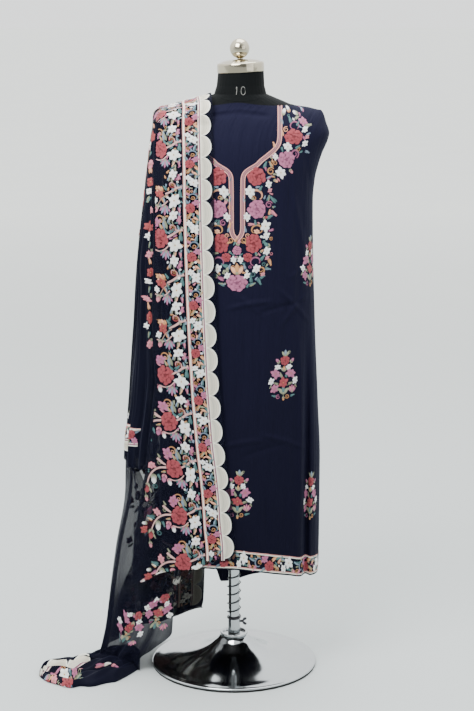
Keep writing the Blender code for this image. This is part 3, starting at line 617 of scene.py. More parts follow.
def mesh_from(name, points, faces, material, flat, colours=None):
    """A smooth mesh object from arrays of points and four-cornered faces."""
    mesh = bpy.data.meshes.new(name)
    mesh.vertices.add(len(points))
    mesh.vertices.foreach_set("co", np.asarray(points, dtype=np.float32).ravel())
    mesh.loops.add(faces.size)
    mesh.loops.foreach_set("vertex_index", faces.astype(np.int32).ravel())
    mesh.polygons.add(len(faces))
    mesh.polygons.foreach_set("loop_start", np.arange(0, faces.size, 4, dtype=np.int32))
    mesh.update(calc_edges=True)
    mesh.validate()
    mesh.shade_smooth()
    layer = mesh.uv_layers.new(name="metres")
    layer.data.foreach_set("uv", flat[faces.ravel()].astype(np.float32).ravel())
    if colours is not None:
        layer = mesh.color_attributes.new("thread", "FLOAT_COLOR", "POINT")
        layer.data.foreach_set("color", colours.astype(np.float32).ravel())
    mesh.materials.append(material)
    obj = bpy.data.objects.new(name, mesh)
    bpy.context.scene.collection.objects.link(obj)
    return obj


def quads(rows, columns, first=0):
    """The faces of a grid, turned so that rows run up and columns to the right."""
    index = first + np.arange(rows * columns).reshape(rows, columns)
    corners = (index[:-1, :-1], index[:-1, 1:], index[1:, 1:], index[1:, :-1])
    return np.stack(corners, axis=-1).reshape(-1, 4)


WELD = 0.00002               # points closer than this are one


def cloth_object(name, grids, outward, material):
    """One sheet from grids that share edges, welded, with its weave's metres as its UVs."""
    points, flats, faces, first = [], [], [], 0
    for grid in grids:
        rows, columns = grid.shape[:2]
        faces.append(quads(rows, columns, first))
        points.append(grid.reshape(-1, 3))
        flats.append(stacked(walked(grid, 1), -walked(grid, 0)).reshape(-1, 2))
        first += rows * columns
    faces = np.concatenate(faces)
    points = np.concatenate(points)
    corner, right, _, low = points[faces[len(faces) // 2]]
    if np.cross(right - corner, low - corner) @ np.array(outward) < 0:
        faces = faces[:, ::-1]
    obj = mesh_from(name, points, faces, material, np.concatenate(flats))
    if len(grids) > 1:
        made = bmesh.new()
        made.from_mesh(obj.data)
        bmesh.ops.remove_doubles(made, verts=made.verts, dist=WELD)
        made.to_mesh(obj.data)
        made.free()
    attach(obj, BODY)
    return obj


# ---- embroidery, drawn flat and laid on a cloth ----

class Stitching:
    """Raised satin stitches as small domed patches, drawn in flat places in metres."""

    EDGE = 0.00012                # a patch's edge lies this far off the cloth
    ROWS_APART = 0.0022           # a stem's rows
    STEP = 0.004                  # how far off a cloth's slant is measured

    def __init__(self, threads):
        self.threads = threads
        self.origin = np.zeros(2)
        self.matrix = np.eye(2)
        self.flats, self.lifts, self.colours, self.lines, self.faces = [], [], [], [], []
        self.count = 0            # points so far, which also varies the flowers
        self.spots = []           # where flowers stand, and how far they reach
        self.keeps = None         # says whether a motif about a flat place is drawn

    @contextmanager
    def placed(self, at=(0.0, 0.0), turn=0.0, stretch=(1.0, 1.0)):
        """Draws what follows about a place, turned and stretched, the stretch first."""
        kept = self.origin, self.matrix
        cos, sin = math.cos(turn), math.sin(turn)
        self.origin = self.origin + self.matrix @ np.array(at)
        self.matrix = self.matrix @ np.array([[cos, -sin], [sin, cos]]) @ np.diag(stretch)
        yield
        self.origin, self.matrix = kept

    @contextmanager
    def faced(self, cloth, x, z, start, widest):
        """Draws what follows as wide as it is seen from the front at x and z, but no wider than
        so many times its size where the cloth turns away."""
        spot = cloth.seen(x, z, start)
        across = abs(cloth.seen(x + self.STEP, z, start)[0] - spot[0]) / self.STEP
        with self.placed(spot, 0.0, (min(max(across, 1.0), widest), 1.0)):
            yield

    def on_cloth(self, place):
        """The cloth's own flat place of one that is given where drawing stands."""
        return self.origin + self.matrix @ np.array(place)

    def drawn_at(self, place):
        """Whether a motif about a place is drawn."""
        return self.keeps is None or self.keeps(*self.on_cloth(place))

    def claim(self, radius, at=(0.0, 0.0)):
        """Notes a round spot as taken, for the small leaves that fill the gaps later."""
        scale = math.sqrt(abs(np.linalg.det(self.matrix)))
        self.spots.append((*self.on_cloth(at), radius * scale))

    def add(self, flat, lift, colour, line):
        """One patch: grids of flat places, lifts, colours and places along the thread."""
        rows, columns = flat.shape[:2]
        faces = quads(rows, columns, self.count)
        if np.linalg.det(self.matrix) < 0:
            faces = faces[:, ::-1]
        self.flats.append((flat @ self.matrix.T + self.origin).reshape(-1, 2))
        self.lifts.append(np.broadcast_to(lift, (rows, columns)).ravel())
        self.colours.append(np.broadcast_to(colour, (rows, columns, 3)).reshape(-1, 3))
        self.lines.append(line.reshape(-1, 2))
        self.faces.append(faces)
        self.count += rows * columns

    def shaded(self, colour, share):
        """A thread's colour, made darker."""
        return np.array(self.threads[colour]) * share

    def tones(self, colour):
        """The dark, deep, middle and light shades of a thread's colour."""
        light = np.minimum(self.shaded(colour, 1.30) + 0.02, 0.92)
        return *(self.shaded(colour, share) for share in (0.40, 0.58, 1.0)), light

    def petal(self, length, width, colour, start=0.0, turn=0.0, at=(0.0, 0.0), lift=0.0,
              dome=0.0006, full=1.0, tip="light", root="dark", bend=0.0, rows=6, columns=5):
        """A petal or leaf that grows from a root. full below 1 puts its widest part nearer the
        root, and above 1 nearer its tip."""
        s = np.linspace(0, 1, rows)[:, None]
        t = np.linspace(-1, 1, columns)[None, :]
        outline = np.sin(math.pi * np.clip(s, 0.0, 1.0) ** full) ** 0.62
        half = width / 2 * (0.13 + 0.87 * outline)
        up = start + length * s + 0 * t
        side = half * t + bend * length * (s ** 2)
        shades = dict(zip(("dark", "deep", "body", "light"), self.tones(colour)))
        blend = smooth(s * 1.9)[..., None]
        tint = shades[root] * (1 - blend) + shades[tip] * blend
        rim = (np.abs(t) ** 3)[..., None]
        tint = tint * (1 - 0.30 * rim * (1 - 0.4 * s[..., None]))
        arched = np.sin(math.pi * np.clip(s, 0.04, 0.96)) ** 0.5
        height = self.EDGE + lift + dome * (1 - t ** 2) * arched
        cos, sin = math.cos(turn), math.sin(turn)
        flat = stacked(at[0] + side * cos - up * sin, at[1] + side * sin + up * cos)
        self.add(flat, height, tint, stacked(side, up))

    def ribbon(self, path, widths, colours, lift=0.0, dome=0.0005, columns=3):
        """A stitched line along a path: widths from its start to its end, and the colours of its
        edge and middle."""
        path = np.array(path, dtype=float)
        ahead = unit(np.gradient(path, axis=0))
        right = stacked(ahead[:, 1], -ahead[:, 0])
        far = walked(path[None], 1)[0]
        share = far / max(far[-1], 1e-9)
        half = np.interp(share, np.linspace(0, 1, len(widths)), widths) / 2
        t = np.linspace(-1, 1, columns)
        flat = path[:, None] + right[:, None] * (half[:, None] * t)[..., None]
        edge, middle = (np.array(self.threads[c]) if isinstance(c, str) else c for c in colours)
        tint = edge + (middle - edge) * (1 - t ** 2)[None, :, None]
        # satin stitches cross a line at a slant
        side = half[:, None] * t
        self.add(flat, self.EDGE + lift + dome * (1 - t ** 2), tint,
                 stacked(far[:, None] + 0.6 * side, side))

    def sew(self, name, cloth, slot, material="floss"):
        """The embroidery as one piece, laid on a cloth."""
        points, held = cloth.lay(np.concatenate(self.flats), np.concatenate(self.lifts))
        colours = np.concatenate(self.colours)
        colours = np.concatenate([colours, np.ones((len(colours), 1))], axis=1)
        faces = np.concatenate(self.faces)
        faces = faces[held[faces].all(axis=1)]
        used, where = np.unique(faces, return_inverse=True)
        made = mesh_from(name, points[used], where.reshape(faces.shape), finish(material),
                         np.concatenate(self.lines)[used], colours[used])
        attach(made, BODY)

    # the motifs, each about (0, 0) with its top up

    # a rose's rings of petals: how many, their length, width, start and lift
    RINGS = ((9, 0.48, 0.62, 0.50, 0.0000), (7, 0.44, 0.52, 0.28, 0.0005),
             (5, 0.36, 0.42, 0.08, 0.0010))

    def rose(self, size, colour):
        """A full rose: three rings of ruffled petals round a curled heart."""
        radius = size / 2
        self.claim(radius)
        self.disc(radius * 0.80, self.shaded(colour, 0.45))
        wilt = 0.37 * self.count         # no two roses are sewn quite alike
        for ring, (petals, length, width, start, lift) in enumerate(self.RINGS):
            for k in range(petals):
                uneven = math.sin(wilt + ring + 2.4 * k)
                self.petal(radius * (length + 0.07 * uneven), radius * width, colour,
                           start=radius * start,
                           turn=2 * math.pi * (k + 0.14 * uneven) / petals + wilt + ring,
                           full=1.5, bend=0.12 * uneven, lift=lift + 0.00018 * (k % 3),
                           root="deep", dome=0.0008, rows=5)
        self.petal(radius * 0.34, radius * 0.30, colour, start=-radius * 0.17, turn=wilt,
                   lift=0.0016, root="body", tip="deep", dome=0.0005, rows=5)

    def disc(self, radius, colour):
        """A low round of plain stitches under a flower."""
        s = np.linspace(-1, 1, 7)[:, None]
        flat = radius * stacked(s.T * np.sqrt(1 - s ** 2 / 2), s * np.sqrt(1 - s.T ** 2 / 2))
        self.add(flat, self.EDGE / 2, colour, flat)

    def blossom(self, size, colour):
        """A small open flower of six petals with a gold knot at its middle."""
        radius = size / 2
        self.claim(radius * 0.95)
        self.disc(radius * 0.55, self.shaded(colour, 0.70))
        for k in range(6):
            uneven = math.sin(0.9 * self.count + 2.2 * k)
            self.petal(radius * (1.02 + 0.20 * uneven), radius * 4.7 / 6, colour,
                       start=radius * 0.06, turn=math.pi / 3 * (k + 0.12 * uneven),
                       full=0.74, root="body", lift=0.00022 * (k % 3), dome=0.0010)
        for k in range(3):
            self.petal(radius * 0.14, radius * 0.15, "gold", turn=2.1 * k, lift=0.0009,
                       dome=0.0003, rows=4, columns=3)

    def leaf(self, size, colour, second=None):
        """A leaf from its root up, its halves in two shades, with a bare vein between."""
        self.claim(size * 0.34, (0, size * 0.5))
        width = size * 0.52
        for side, tint, tip in ((-1, colour, "light"), (1, second or colour, "body")):
            self.petal(size, width * 0.56, tint, at=(side * width * 0.22, 0), full=0.85,
                       bend=-side * 0.14, turn=side * 0.06, root="body", tip=tip, columns=4)

    def fan(self, size, colour, second, lobes=3):
        """A fan-shaped flower or crown that opens upward from its root."""
        self.claim(size * 0.46, (0, size * 0.5))
        for k in range(lobes):
            off = k - (lobes - 1) / 2
            tint = colour if k % 2 == 0 else second
            self.petal(size * (1.0 - 0.10 * abs(off)), size * 1.15 / lobes, tint,
                       turn=-off * 1.75 / lobes, full=1.15, lift=0.00015 * (k % 2))
        self.petal(size * 0.34, size * 0.30, "sage", full=0.9, lift=0.0003, rows=4)

    def lotus(self, size, colour, second):
        """A five-petalled half-open flower."""
        self.fan(size, colour, second, lobes=5)

    def bud(self, size, colour, second="sage"):
        """A closed bud in two small leaves."""
        self.claim(size * 0.36, (0, size * 0.5))
        for side in (-1, 1):
            self.petal(size * 0.55, size * 0.30, second, turn=-side * 0.5, rows=5, columns=4)
        self.petal(size * 0.78, size * 0.52, colour, start=size * 0.24, full=1.05,
                   lift=0.0003, dome=0.0007)

    def scroll(self, size, colour, turns, far, thick, widths):
        """A line by its turns and how far from the middle it goes, as shares of the size."""
        self.claim(size / 2)
        path = stacked(np.cos(turns), np.sin(turns)) * (size / 2 * far)[:, None]
        self.ribbon(path, [size * thick * width for width in widths],
                    (self.shaded(colour, 0.62), colour))

    def curl(self, size, colour):
        """A spiral scroll: its line is thick outside and fine at its eye."""
        share = np.linspace(0, 1, 19)
        self.scroll(size, colour, 2 * math.pi * 1.35 * share, 1 - 0.72 * share, 0.22,
                    (0.6, 1.0, 0.8, 0.4))

    def arch(self, size, colour):
        """An arch open below, its ends curled in."""
        share = np.linspace(-1, 1, 17)
        self.scroll(size, colour, math.pi / 2 - math.radians(125) * share,
                    1 - 0.30 * share ** 4, 0.17, (0.5, 1.0, 1.0, 0.5))

    def acanthus(self, size, colour, second):
        """A lobed leaf: three lobes on each side of a bent rib."""
        self.claim(size * 0.42, (0, size * 0.5))
        self.petal(size, size * 0.20, colour, bend=0.12)
        for k, (up, far) in enumerate(((0.16, 0.42), (0.38, 0.40), (0.60, 0.30))):
            for side in (-1, 1):
                self.petal(size * far, size * 0.19, second if k % 2 else colour,
                           at=(0.12 * size * up ** 2, size * up), turn=-side * (0.95 - 0.2 * k),
                           bend=-side * 0.15, rows=5, columns=4)

    def stem(self, path, widths, colour):
        """A stem through a few places in millimetres, rounded between them."""
        path = np.array(path) * MM
        reach = walked(path[None], 1)[0]
        line = Sections("at x y", np.column_stack([reach, path]))
        line.slopes = {"x": np.gradient(path[:, 0], reach), "y": np.gradient(path[:, 1], reach)}
        at = np.linspace(0, reach[-1], max(int(reach[-1] / self.ROWS_APART), 5))
        self.ribbon(stacked(line("x", at), line("y", at)), np.array(widths) * MM,
                    (self.shaded(colour, 0.62), colour))

    def draw(self, rows, where=None):
        """Draws a table of motifs: kind, across and up in millimetres, size, turn in degrees
        and colours. A size of two numbers is its width and height. where turns a place of the
        table into a flat place."""
        for kind, across, up, size, turn, *rest in rows:
            wide, high = size if isinstance(size, tuple) else (size, size)
            whole = max(wide, high)
            spot = (across * MM, up * MM)
            spot = where(*spot) if where else spot
            if not self.drawn_at(spot):
                continue
            with self.placed(spot, 0.0, (wide / whole, high / whole)), \
                    self.placed(turn=math.radians(turn)):
                getattr(self, kind)(whole * MM, *rest)

    # the small motifs' sizes as shares of the gap, and how far below its middle each grows
    FILLERS = {"leaf": (1.25, 0.6), "curl": (0.9, 0.0), "bud": (1.0, 0.4), "blossom": (0.8, 0.0)}

    def fill(self, box, inside, seed, tries, colours, sizes, snug=0.0035):
        """Small leaves, curls and buds in the gaps that the motifs leave within a place."""
        draw = np.random.default_rng(seed)
        (left, low), (right, high) = box
        drawn = len(self.spots)
        for _ in range(tries):
            spot = np.array([draw.uniform(left, right), draw.uniform(low, high)])
            size = draw.uniform(*sizes)
            turn = draw.uniform(0, 2 * math.pi)
            kind = str(draw.choice(["leaf", "leaf", "leaf", "curl", "bud", "blossom"]))
            colour = str(draw.choice(colours))
            if not inside(*spot):
                continue
            taken = np.array(self.spots)
            gaps = np.hypot(*(taken[:, :2] - self.on_cloth(spot)).T) - taken[:, 2]
            if gaps.min() < size * 0.30 or gaps[:drawn].min() > size * 0.5 + snug:
                continue
            if kind == "blossom" and size < 0.009:
                colour = "white"
            share, below = self.FILLERS[kind]
            with self.placed(spot, turn), self.placed((0, -size * below)):
                getattr(self, kind)(size * share, colour)


# ---- finishes ----

def maths_method(operation, turned=False):
    """A method that adds a Math node on its own value and another, or on them turned round."""
    def method(self, other):
        return self.maths(operation, *((other, self) if turned else (self, other)))
    return method


class Value:
    """One output of a node. Arithmetic on it adds Math nodes."""

    def __init__(self, nodes, socket):
        self.nodes = nodes
        self.socket = socket

    def maths(self, operation, *terms):
        """A Math node on some terms."""
        return self.nodes.node("ShaderNodeMath", dict(enumerate(terms)), operation=operation)

    __add__, __radd__ = maths_method("ADD"), maths_method("ADD", True)
    __sub__, __mul__ = maths_method("SUBTRACT"), maths_method("MULTIPLY")
    __truediv__ = maths_method("DIVIDE")

    def sine(self):
        """Its sine."""
        return self.maths("SINE", self)

    def size(self):
        """How far it is from 0."""
        return self.maths("ABSOLUTE", self)

    def clamped(self):
        """The value, kept from 0 to 1."""
        return self.maths("MINIMUM", self.maths("MAXIMUM", self, 0.0), 1.0)

    def part(self, axis):
        """One coordinate of a vector output."""
        return self.nodes.node("ShaderNodeSeparateXYZ", {0: self}, "XYZ".index(axis))


class Nodes:
    """A node tree and what is added to it."""

    def __init__(self, owner):
        owner.use_nodes = True
        self.tree = owner.node_tree

    def fill(self, socket, value):
        """A number, a vector, a colour or a node's output on a socket."""
        if isinstance(value, Value):
            self.tree.links.new(value.socket, socket)
        else:
            socket.default_value = (*value, 1.0) if socket.type == "RGBA" else value

    def node(self, kind, sockets=None, output=0, **settings):
        """A node of a kind, its settings made before its sockets are filled."""
        made = self.tree.nodes.new(kind)
        for key, value in settings.items():
            setattr(made, key, value)
        for key, value in (sockets or {}).items():
            self.fill(made.inputs[key], value)
        return Value(self, made.outputs[output])


class Finish(Nodes):
    """A material: one Principled shader and the nodes that feed it."""

    def __init__(self, name, **constants):
        self.material = bpy.data.materials.new(name)
        super().__init__(self.material)
        self.shader = self.tree.nodes["Principled BSDF"]
        for socket, value in constants.items():
            self.set(socket.replace("_", " ").title().replace("Ior", "IOR"), value)

    def set(self, socket, value):
        """A value or a node's output on one of the shader's sockets."""
        self.fill(self.shader.inputs[socket], value)

    def place(self):
        """The place on the object in metres."""
        return self.node("ShaderNodeTexCoord", output="Object")

    def metres(self):
        """The place on the flat cloth in metres."""
        return self.node("ShaderNodeUVMap", uv_map="metres")

    def noise(self, where, scale, detail=2.0, roughness=0.5):
        """Soft noise from 0 to 1, scale being its waves in a metre."""
        return self.node("ShaderNodeTexNoise", {"Vector": where, "Scale": scale,
                                                "Detail": detail, "Roughness": roughness})

    def folds(self, flat, share, scale):
        """Soft noise in upright streaks: a height on the cloth counts for only a share."""
        drawn_out = self.node("ShaderNodeVectorMath", {0: flat, 1: (1.0, share, 1.0)},
                              operation="MULTIPLY")
        return self.noise(drawn_out, scale, 3.0, 0.55)

    def mix(self, share, first, second, blend="MIX"):
        """One colour turning to another."""
        return self.node("ShaderNodeMix", {0: share, 6: first, 7: second}, 2,
                         data_type="RGBA", blend_type=blend)

    def dye(self, share, colour, darkest, lightest):
        """The shader's colour, from darker to lighter."""
        self.set("Base Color", self.mix(share, scaled(colour, darkest), scaled(colour, lightest)))

    def relief(self, height, depth):
        """Relief of a depth in metres on the shader's normal."""
        self.set("Normal", self.node("ShaderNodeBump", {"Height": height, "Distance": depth}))


def scaled(colour, share):
    """A colour made darker or lighter."""
    return tuple(min(c * share, 1.0) for c in colour)


def crepe_finish(name, colour):
    """Navy crepe: opaque, with the fine pebble of hard-twisted yarn."""
    made = Finish(name, sheen_weight=0.03, sheen_roughness=0.45,
                  sheen_tint=(0.45, 0.50, 0.85), specular_ior_level=0.05)
    flat, place = made.metres(), made.place()
    yarns = (flat.part("X") * 6300.0).sine() * 0.5 + (flat.part("Y") * 5600.0).sine() * 0.5
    pebble = made.noise(flat, 900.0, 3.0, 0.65)
    broad = made.noise(place, 7.0, 3.0)
    slub = made.noise(flat, 130.0)
    tone = (broad * 0.6 + slub * 0.25 + pebble * 0.30 - 0.30).clamped()
    # painted shade: the cloth is darker towards the hem and lighter up the chest, standing in for
    # how the studio's light falls off down the suit
    high = ((place.part("Z") - 0.30) * 1.05).clamped()
    base_tone = made.mix(high, scaled(colour, 0.72), scaled(colour, 1.20))
    made.set("Base Color", made.mix(tone * 0.38, base_tone, made.mix(1.0, base_tone, base_tone, "ADD")))
    made.set("Roughness", 0.66 + pebble * 0.12)
    # the cloth's own creping leaves soft upright ripples as it hangs
    ripples = made.folds(flat, 0.09, 75.0)
    made.relief(pebble * 0.055 + yarns * 0.008 + slub * 0.02 + ripples * 1.1, 0.0034)
    return made.material


def georgette_finish(name, colour, cover):
    """Sheer navy georgette: the ground shows through between its crinkled yarns."""
    made = Finish(name, roughness=0.70, sheen_weight=0.03, sheen_roughness=0.5,
                  sheen_tint=(0.55, 0.60, 0.85), specular_ior_level=0.05)
    flat, place = made.metres(), made.place()
    mesh = (flat.part("X") * 5200.0).sine().size() + (flat.part("Y") * 4700.0).sine().size()
    crinkle = made.noise(flat, 420.0, 3.0, 0.6)
    made.dye(made.noise(place, 9.0) * 0.7 + crinkle * 0.3, colour, 0.80, 1.35)
    # it gathers in soft upright folds, and lies denser where it is pleated higher up and where it
    # meets the floor. The denser upright streaks and the denser foot are partly its gathered
    # layers and partly painted shade, for the shade in its folds and on the floor under the suit
    folds = made.folds(flat, 0.07, 38.0)
    low = ((place.part("Z") * -1.0 + 0.21) / 0.08).clamped()
    high = ((place.part("Z") - 0.44) / 0.14).clamped()
    made.set("Alpha", (cover - 0.33 + mesh * 0.05 + crinkle * 0.08 + folds * 0.30
                       + low * 0.22 + high * 0.15).clamped())
    made.relief(crinkle * 0.8 + mesh * 0.1, 0.00020)
    return made.material


def floss_finish():
    """Dyed floss: its colour comes with each patch, in threads that run along its stitches."""
    made = Finish("embroidery_floss", sheen_weight=0.03, sheen_roughness=0.4,
                  specular_ior_level=0.25)
    flat = made.metres()
    thread = (flat.part("X") * 12500.0).sine()
    strands = made.noise(flat, 1500.0)
    uneven = made.noise(made.place(), 160.0)
    base_tone = made.node("ShaderNodeAttribute", output="Color", attribute_name="thread")
    shade = (0.74 + thread * 0.10 + strands * 0.30 + uneven * 0.16).clamped()
    dark = made.mix(0.55, base_tone, (0.02, 0.02, 0.03))
    made.set("Base Color", made.mix(shade, dark, base_tone))
    made.set("Roughness", 0.45 + strands * 0.22)
    made.relief(thread * 0.5 + strands * 0.6, 0.00025)
    return made.material


def chrome_finish(name, colour):
    """Chrome plate with faint wiping marks and dust."""
    made = Finish(name, metallic=1.0)
    smudge = made.noise(made.place(), 26.0, 4.0, 0.6)
    wiped = made.noise(made.place(), 260.0)
    made.dye(smudge, colour, 0.93, 1.04)
    made.set("Roughness", 0.045 + smudge * 0.09 + wiped * 0.03)
    made.relief(smudge * 0.7 + wiped * 0.15, 0.00006)
    return made.material


def steel_finish(name, colour):
    """Dark oiled steel wire and castings."""
    made = Finish(name, metallic=1.0)
    mottle = made.noise(made.place(), 180.0, 4.0, 0.7)
    made.dye(mottle, colour, 0.6, 1.7)
    made.set("Roughness", 0.26 + mottle * 0.25)
    made.relief(mottle, 0.00012)
    return made.material


def rubber_finish(name, colour):
    """Matt black rubber with a faint bloom."""
    made = Finish(name, specular_ior_level=0.35)
    grain = made.noise(made.place(), 700.0, 3.0)
    made.dye(made.noise(made.place(), 40.0), colour, 1.0, 2.6)
    made.set("Roughness", 0.62 + grain * 0.2)
    made.relief(grain, 0.00015)
    return made.material


def cover_finish(name, colour):
    """The form's black stretch cover: a fine knit, in rows of small stitches."""
    made = Finish(name, sheen_weight=0.02, sheen_roughness=0.5, specular_ior_level=0.06)
    place = made.place()
    round_it = place.maths("ARCTAN2", place.part("Y"), place.part("X") - NECK_SHIFT)
    ribs = (round_it * 210.0).sine()
    courses = (place.part("Z") * 5200.0).sine()
    fluff = made.noise(place, 800.0, 3.0, 0.7)
    made.dye(fluff, colour, 0.7, 2.0)
    made.set("Roughness", 0.66 + fluff * 0.2)
    made.relief(ribs * 0.25 + courses * 0.25 + fluff * 0.5, 0.00022)
    return made.material


def floor_finish(name, near, far):
    """A painted studio floor, darker near the stand and faintly mottled. Behind the camera it is
    darkened further, painted shade that stands in for the dim room there.
    """
    made = Finish(name, specular_ior_level=0.25)
    place = made.place()
    distance = made.node("ShaderNodeVectorMath", {0: place}, "Value", operation="LENGTH")
    share = ((distance - 0.8) / 9.0).clamped()
    soft = made.noise(place, 1.3, 3.0)
    fine = made.noise(place, 60.0, 3.0)
    # painted shade: behind the camera the floor turns dark grey, standing in for the dim room
    # there
    behind = ((place.part("Y") * -1.0 - 1.3) / 3.0).clamped()
    tone = made.mix(behind * 0.55, made.mix(share, near, far), (0.12, 0.12, 0.12))
    made.set("Base Color", made.mix(soft * 0.10 + fine * 0.05, tone, scaled(near, 0.86)))
    made.set("Roughness", 0.55 + fine * 0.15)
    made.relief(fine, 0.0002)
    return made.material


@functools.cache
def finish(name):
    """One of the suit's materials, made when it is first asked for."""
    given = bpy.context.scene.suit_finishes
    makers = {
        "crepe": (crepe_finish, "navy_crepe_cloth", given.crepe),
        "gathered": (georgette_finish, "gathered_georgette", given.georgette,
                     min(given.cover + 0.15, 1.0)),
        "georgette": (georgette_finish, "navy_georgette", given.georgette, given.cover),
        "floss": (floss_finish,),
        "chrome": (chrome_finish, "chrome_plate", given.chrome),
        "cap": (chrome_finish, "cap_plate", given.cap),
        "steel": (steel_finish, "oiled_steel", given.steel),
        "rubber": (rubber_finish, "ring_rubber", given.rubber),
        "cover": (cover_finish, "form_stretch_cover", given.form),
        "floor": (floor_finish, "studio_floor", given.near_floor, given.far_floor),
    }
    maker, *settings = makers[name]
    return maker(*settings)


# ---- the embroidery's tables: kind, across and up in mm, size, turn and colours ----

# how far the yoke's flowers reach: up and across in mm from the same place
YOKE_REACH = ((-116, 0), (-106, 38), (-88, 60), (-64, 74), (-40, 78), (0, 78), (34, 80),
              (60, 82), (114, 82), (131, 84), (157, 116), (199, 146), (222, 166), (272, 168),
              (300, 140))

# half of the yoke, from the placket's middle and above its tip
YOKE_SIDE = (
    ("rose", 131, 238, (46, 36), 0, "red"), ("rose", 114, 187, 41, 20, "mauve"),
    ("rose", 45, 149, 44, 0, "red"), ("rose", 46, 74, 45, 30, "mauve"),
    ("rose", 38, -6, (40, 47), 10, "red"), ("rose", 25, -38, 22, 0, "red"),
    ("blossom", 153, 272, 20, 0, "mauve"), ("blossom", 117, 216, 21, 0, "white"),
    ("blossom", 88, 194, 15, 0, "white"), ("blossom", 101, 157, 25, 10, "white"),
    ("blossom", 30, 114, 25, 0, "white"), ("blossom", 23, 56, 18, 0, "white"),
    ("blossom", 8, -44, 15, 0, "white"), ("blossom", 73, 131, 16, 0, "white"),
    ("blossom", 66, 34, 25, 0, "white"), ("blossom", 68, 12, 17, 0, "white"),
    ("blossom", 69, -24, 18, 0, "white"), ("blossom", 45, -65, 19, 0, "white"),
    ("blossom", 23, -81, 15, 0, "white"), ("blossom", 157, 254, 15, 0, "white"),
    ("blossom", 157, 222, 15, 0, "white"), ("bud", 104, 286, 17, -30, "white"),
    ("bud", 143, 288, 17, 70, "white"), ("bud", 122, 292, 16, 20, "white", "gold"),
    ("blossom", 76, 117, 10, 0, "pink"), ("blossom", 70, -40, 10, 0, "pink"),
    ("blossom", 60, -78, 10, 0, "pink"), ("blossom", 162, 237, 10, 0, "pink"),
    ("leaf", 104, 266, 18, 10, "teal", "blue"), ("leaf", 126, 268, 18, 20, "teal"),
    ("leaf", 138, 262, 14, -30, "teal"), ("leaf", 50, 114, 16, -30, "teal"),
    ("leaf", 70, 92, 16, -20, "teal", "sage"), ("leaf", 44, 34, 16, 10, "teal"),
    ("leaf", 54, -46, 17, -40, "teal"), ("leaf", 64, -64, 16, -100, "teal", "blue"),
    ("leaf", 53, -88, 15, -60, "teal"), ("leaf", 28, -104, 17, -70, "teal", "sage"),
    ("leaf", 62, 168, 17, -20, "teal"), ("leaf", 134, 211, 15, -60, "teal"),
    ("leaf", 82, 170, 16, 30, "sage", "gold"), ("leaf", 152, 293, 15, -40, "blue", "mauve"),
    ("leaf", 157, 205, 15, -110, "blue"), ("leaf", 68, 143, 16, -60, "blue", "mauve"),
    ("leaf", 20, 20, 16, 10, "blue"), ("leaf", 20, -66, 14, 20, "blue"),
    ("leaf", 160, 240, 13, -60, "blue"), ("leaf", 17, 90, 16, 10, "blue", "teal"),
    ("leaf", 40, 96, 14, 60, "sage"), ("leaf", 42, 124, 12, -80, "blue"),
    ("leaf", 26, -8, 13, 60, "gold"), ("leaf", 74, 60, 14, -10, "gold", "peach"),
    ("leaf", 88, 214, 15, 20, "gold", "peach"), ("leaf", 106, 240, 14, 10, "gold", "peach"),
    ("curl", 78, 161, 18, 40, "gold"), ("arch", 44, 103, 30, 0, "peach"),
    ("curl", 40, 100, 11, 90, "gold"), ("curl", 74, 84, 17, 20, "mauve"),
    ("arch", 46, 24, 26, 0, "gold"), ("blossom", 46, 22, 13, 0, "peach"),
    ("curl", 15, 2, 14, 200, "gold"), ("curl", 24, 12, 11, 20, "peach"),
    ("arch", 43, -50, 24, 20, "mauve"), ("curl", 56, -68, 18, 250, "gold"),
    ("curl", 133, 199, 22, 300, "mauve"), ("arch", 133, 261, 22, 0, "mauve"),
    ("curl", 113, 255, 13, 60, "peach"), ("curl", 88, 180, 11, 100, "gold"),
    ("curl", 10, -60, 9, 150, "gold"), ("curl", 142, 209, 11, 10, "gold"),
    ("bud", 77, 190, 12, -40, "mauve"), ("bud", 60, 52, 12, -70, "red"),
    ("bud", 121, 165, 13, -140, "pink"), ("bud", 84, 142, 12, -120, "peach"),
)
# what stands on the yoke's middle line
YOKE_MIDDLE = (
    ("rose", 0, -22, 22, 0, "mauve"), ("rose", 0, -98, (50, 41), 0, "mauve"),
    ("fan", 0, -80, 28, 0, "peach", "gold"), ("curl", -6, -50, 8, 0, "gold"),
    ("leaf", -5, -34, 10, 60, "teal"), ("leaf", 5, -34, 10, -60, "teal"),
)
# the stitched edge of the neckline and the placket, out of the shoulder and down to the tip
YOKE_EDGE = (
    (99.5, 312), (99, 268), (98.5, 236), (96, 222), (86, 209), (70, 196), (56, 186), (47, 176),
    (38, 171), (24, 163), (16, 155), (13.5, 144), (13, 100), (13, 26), (10, 13), (0, 3),
)

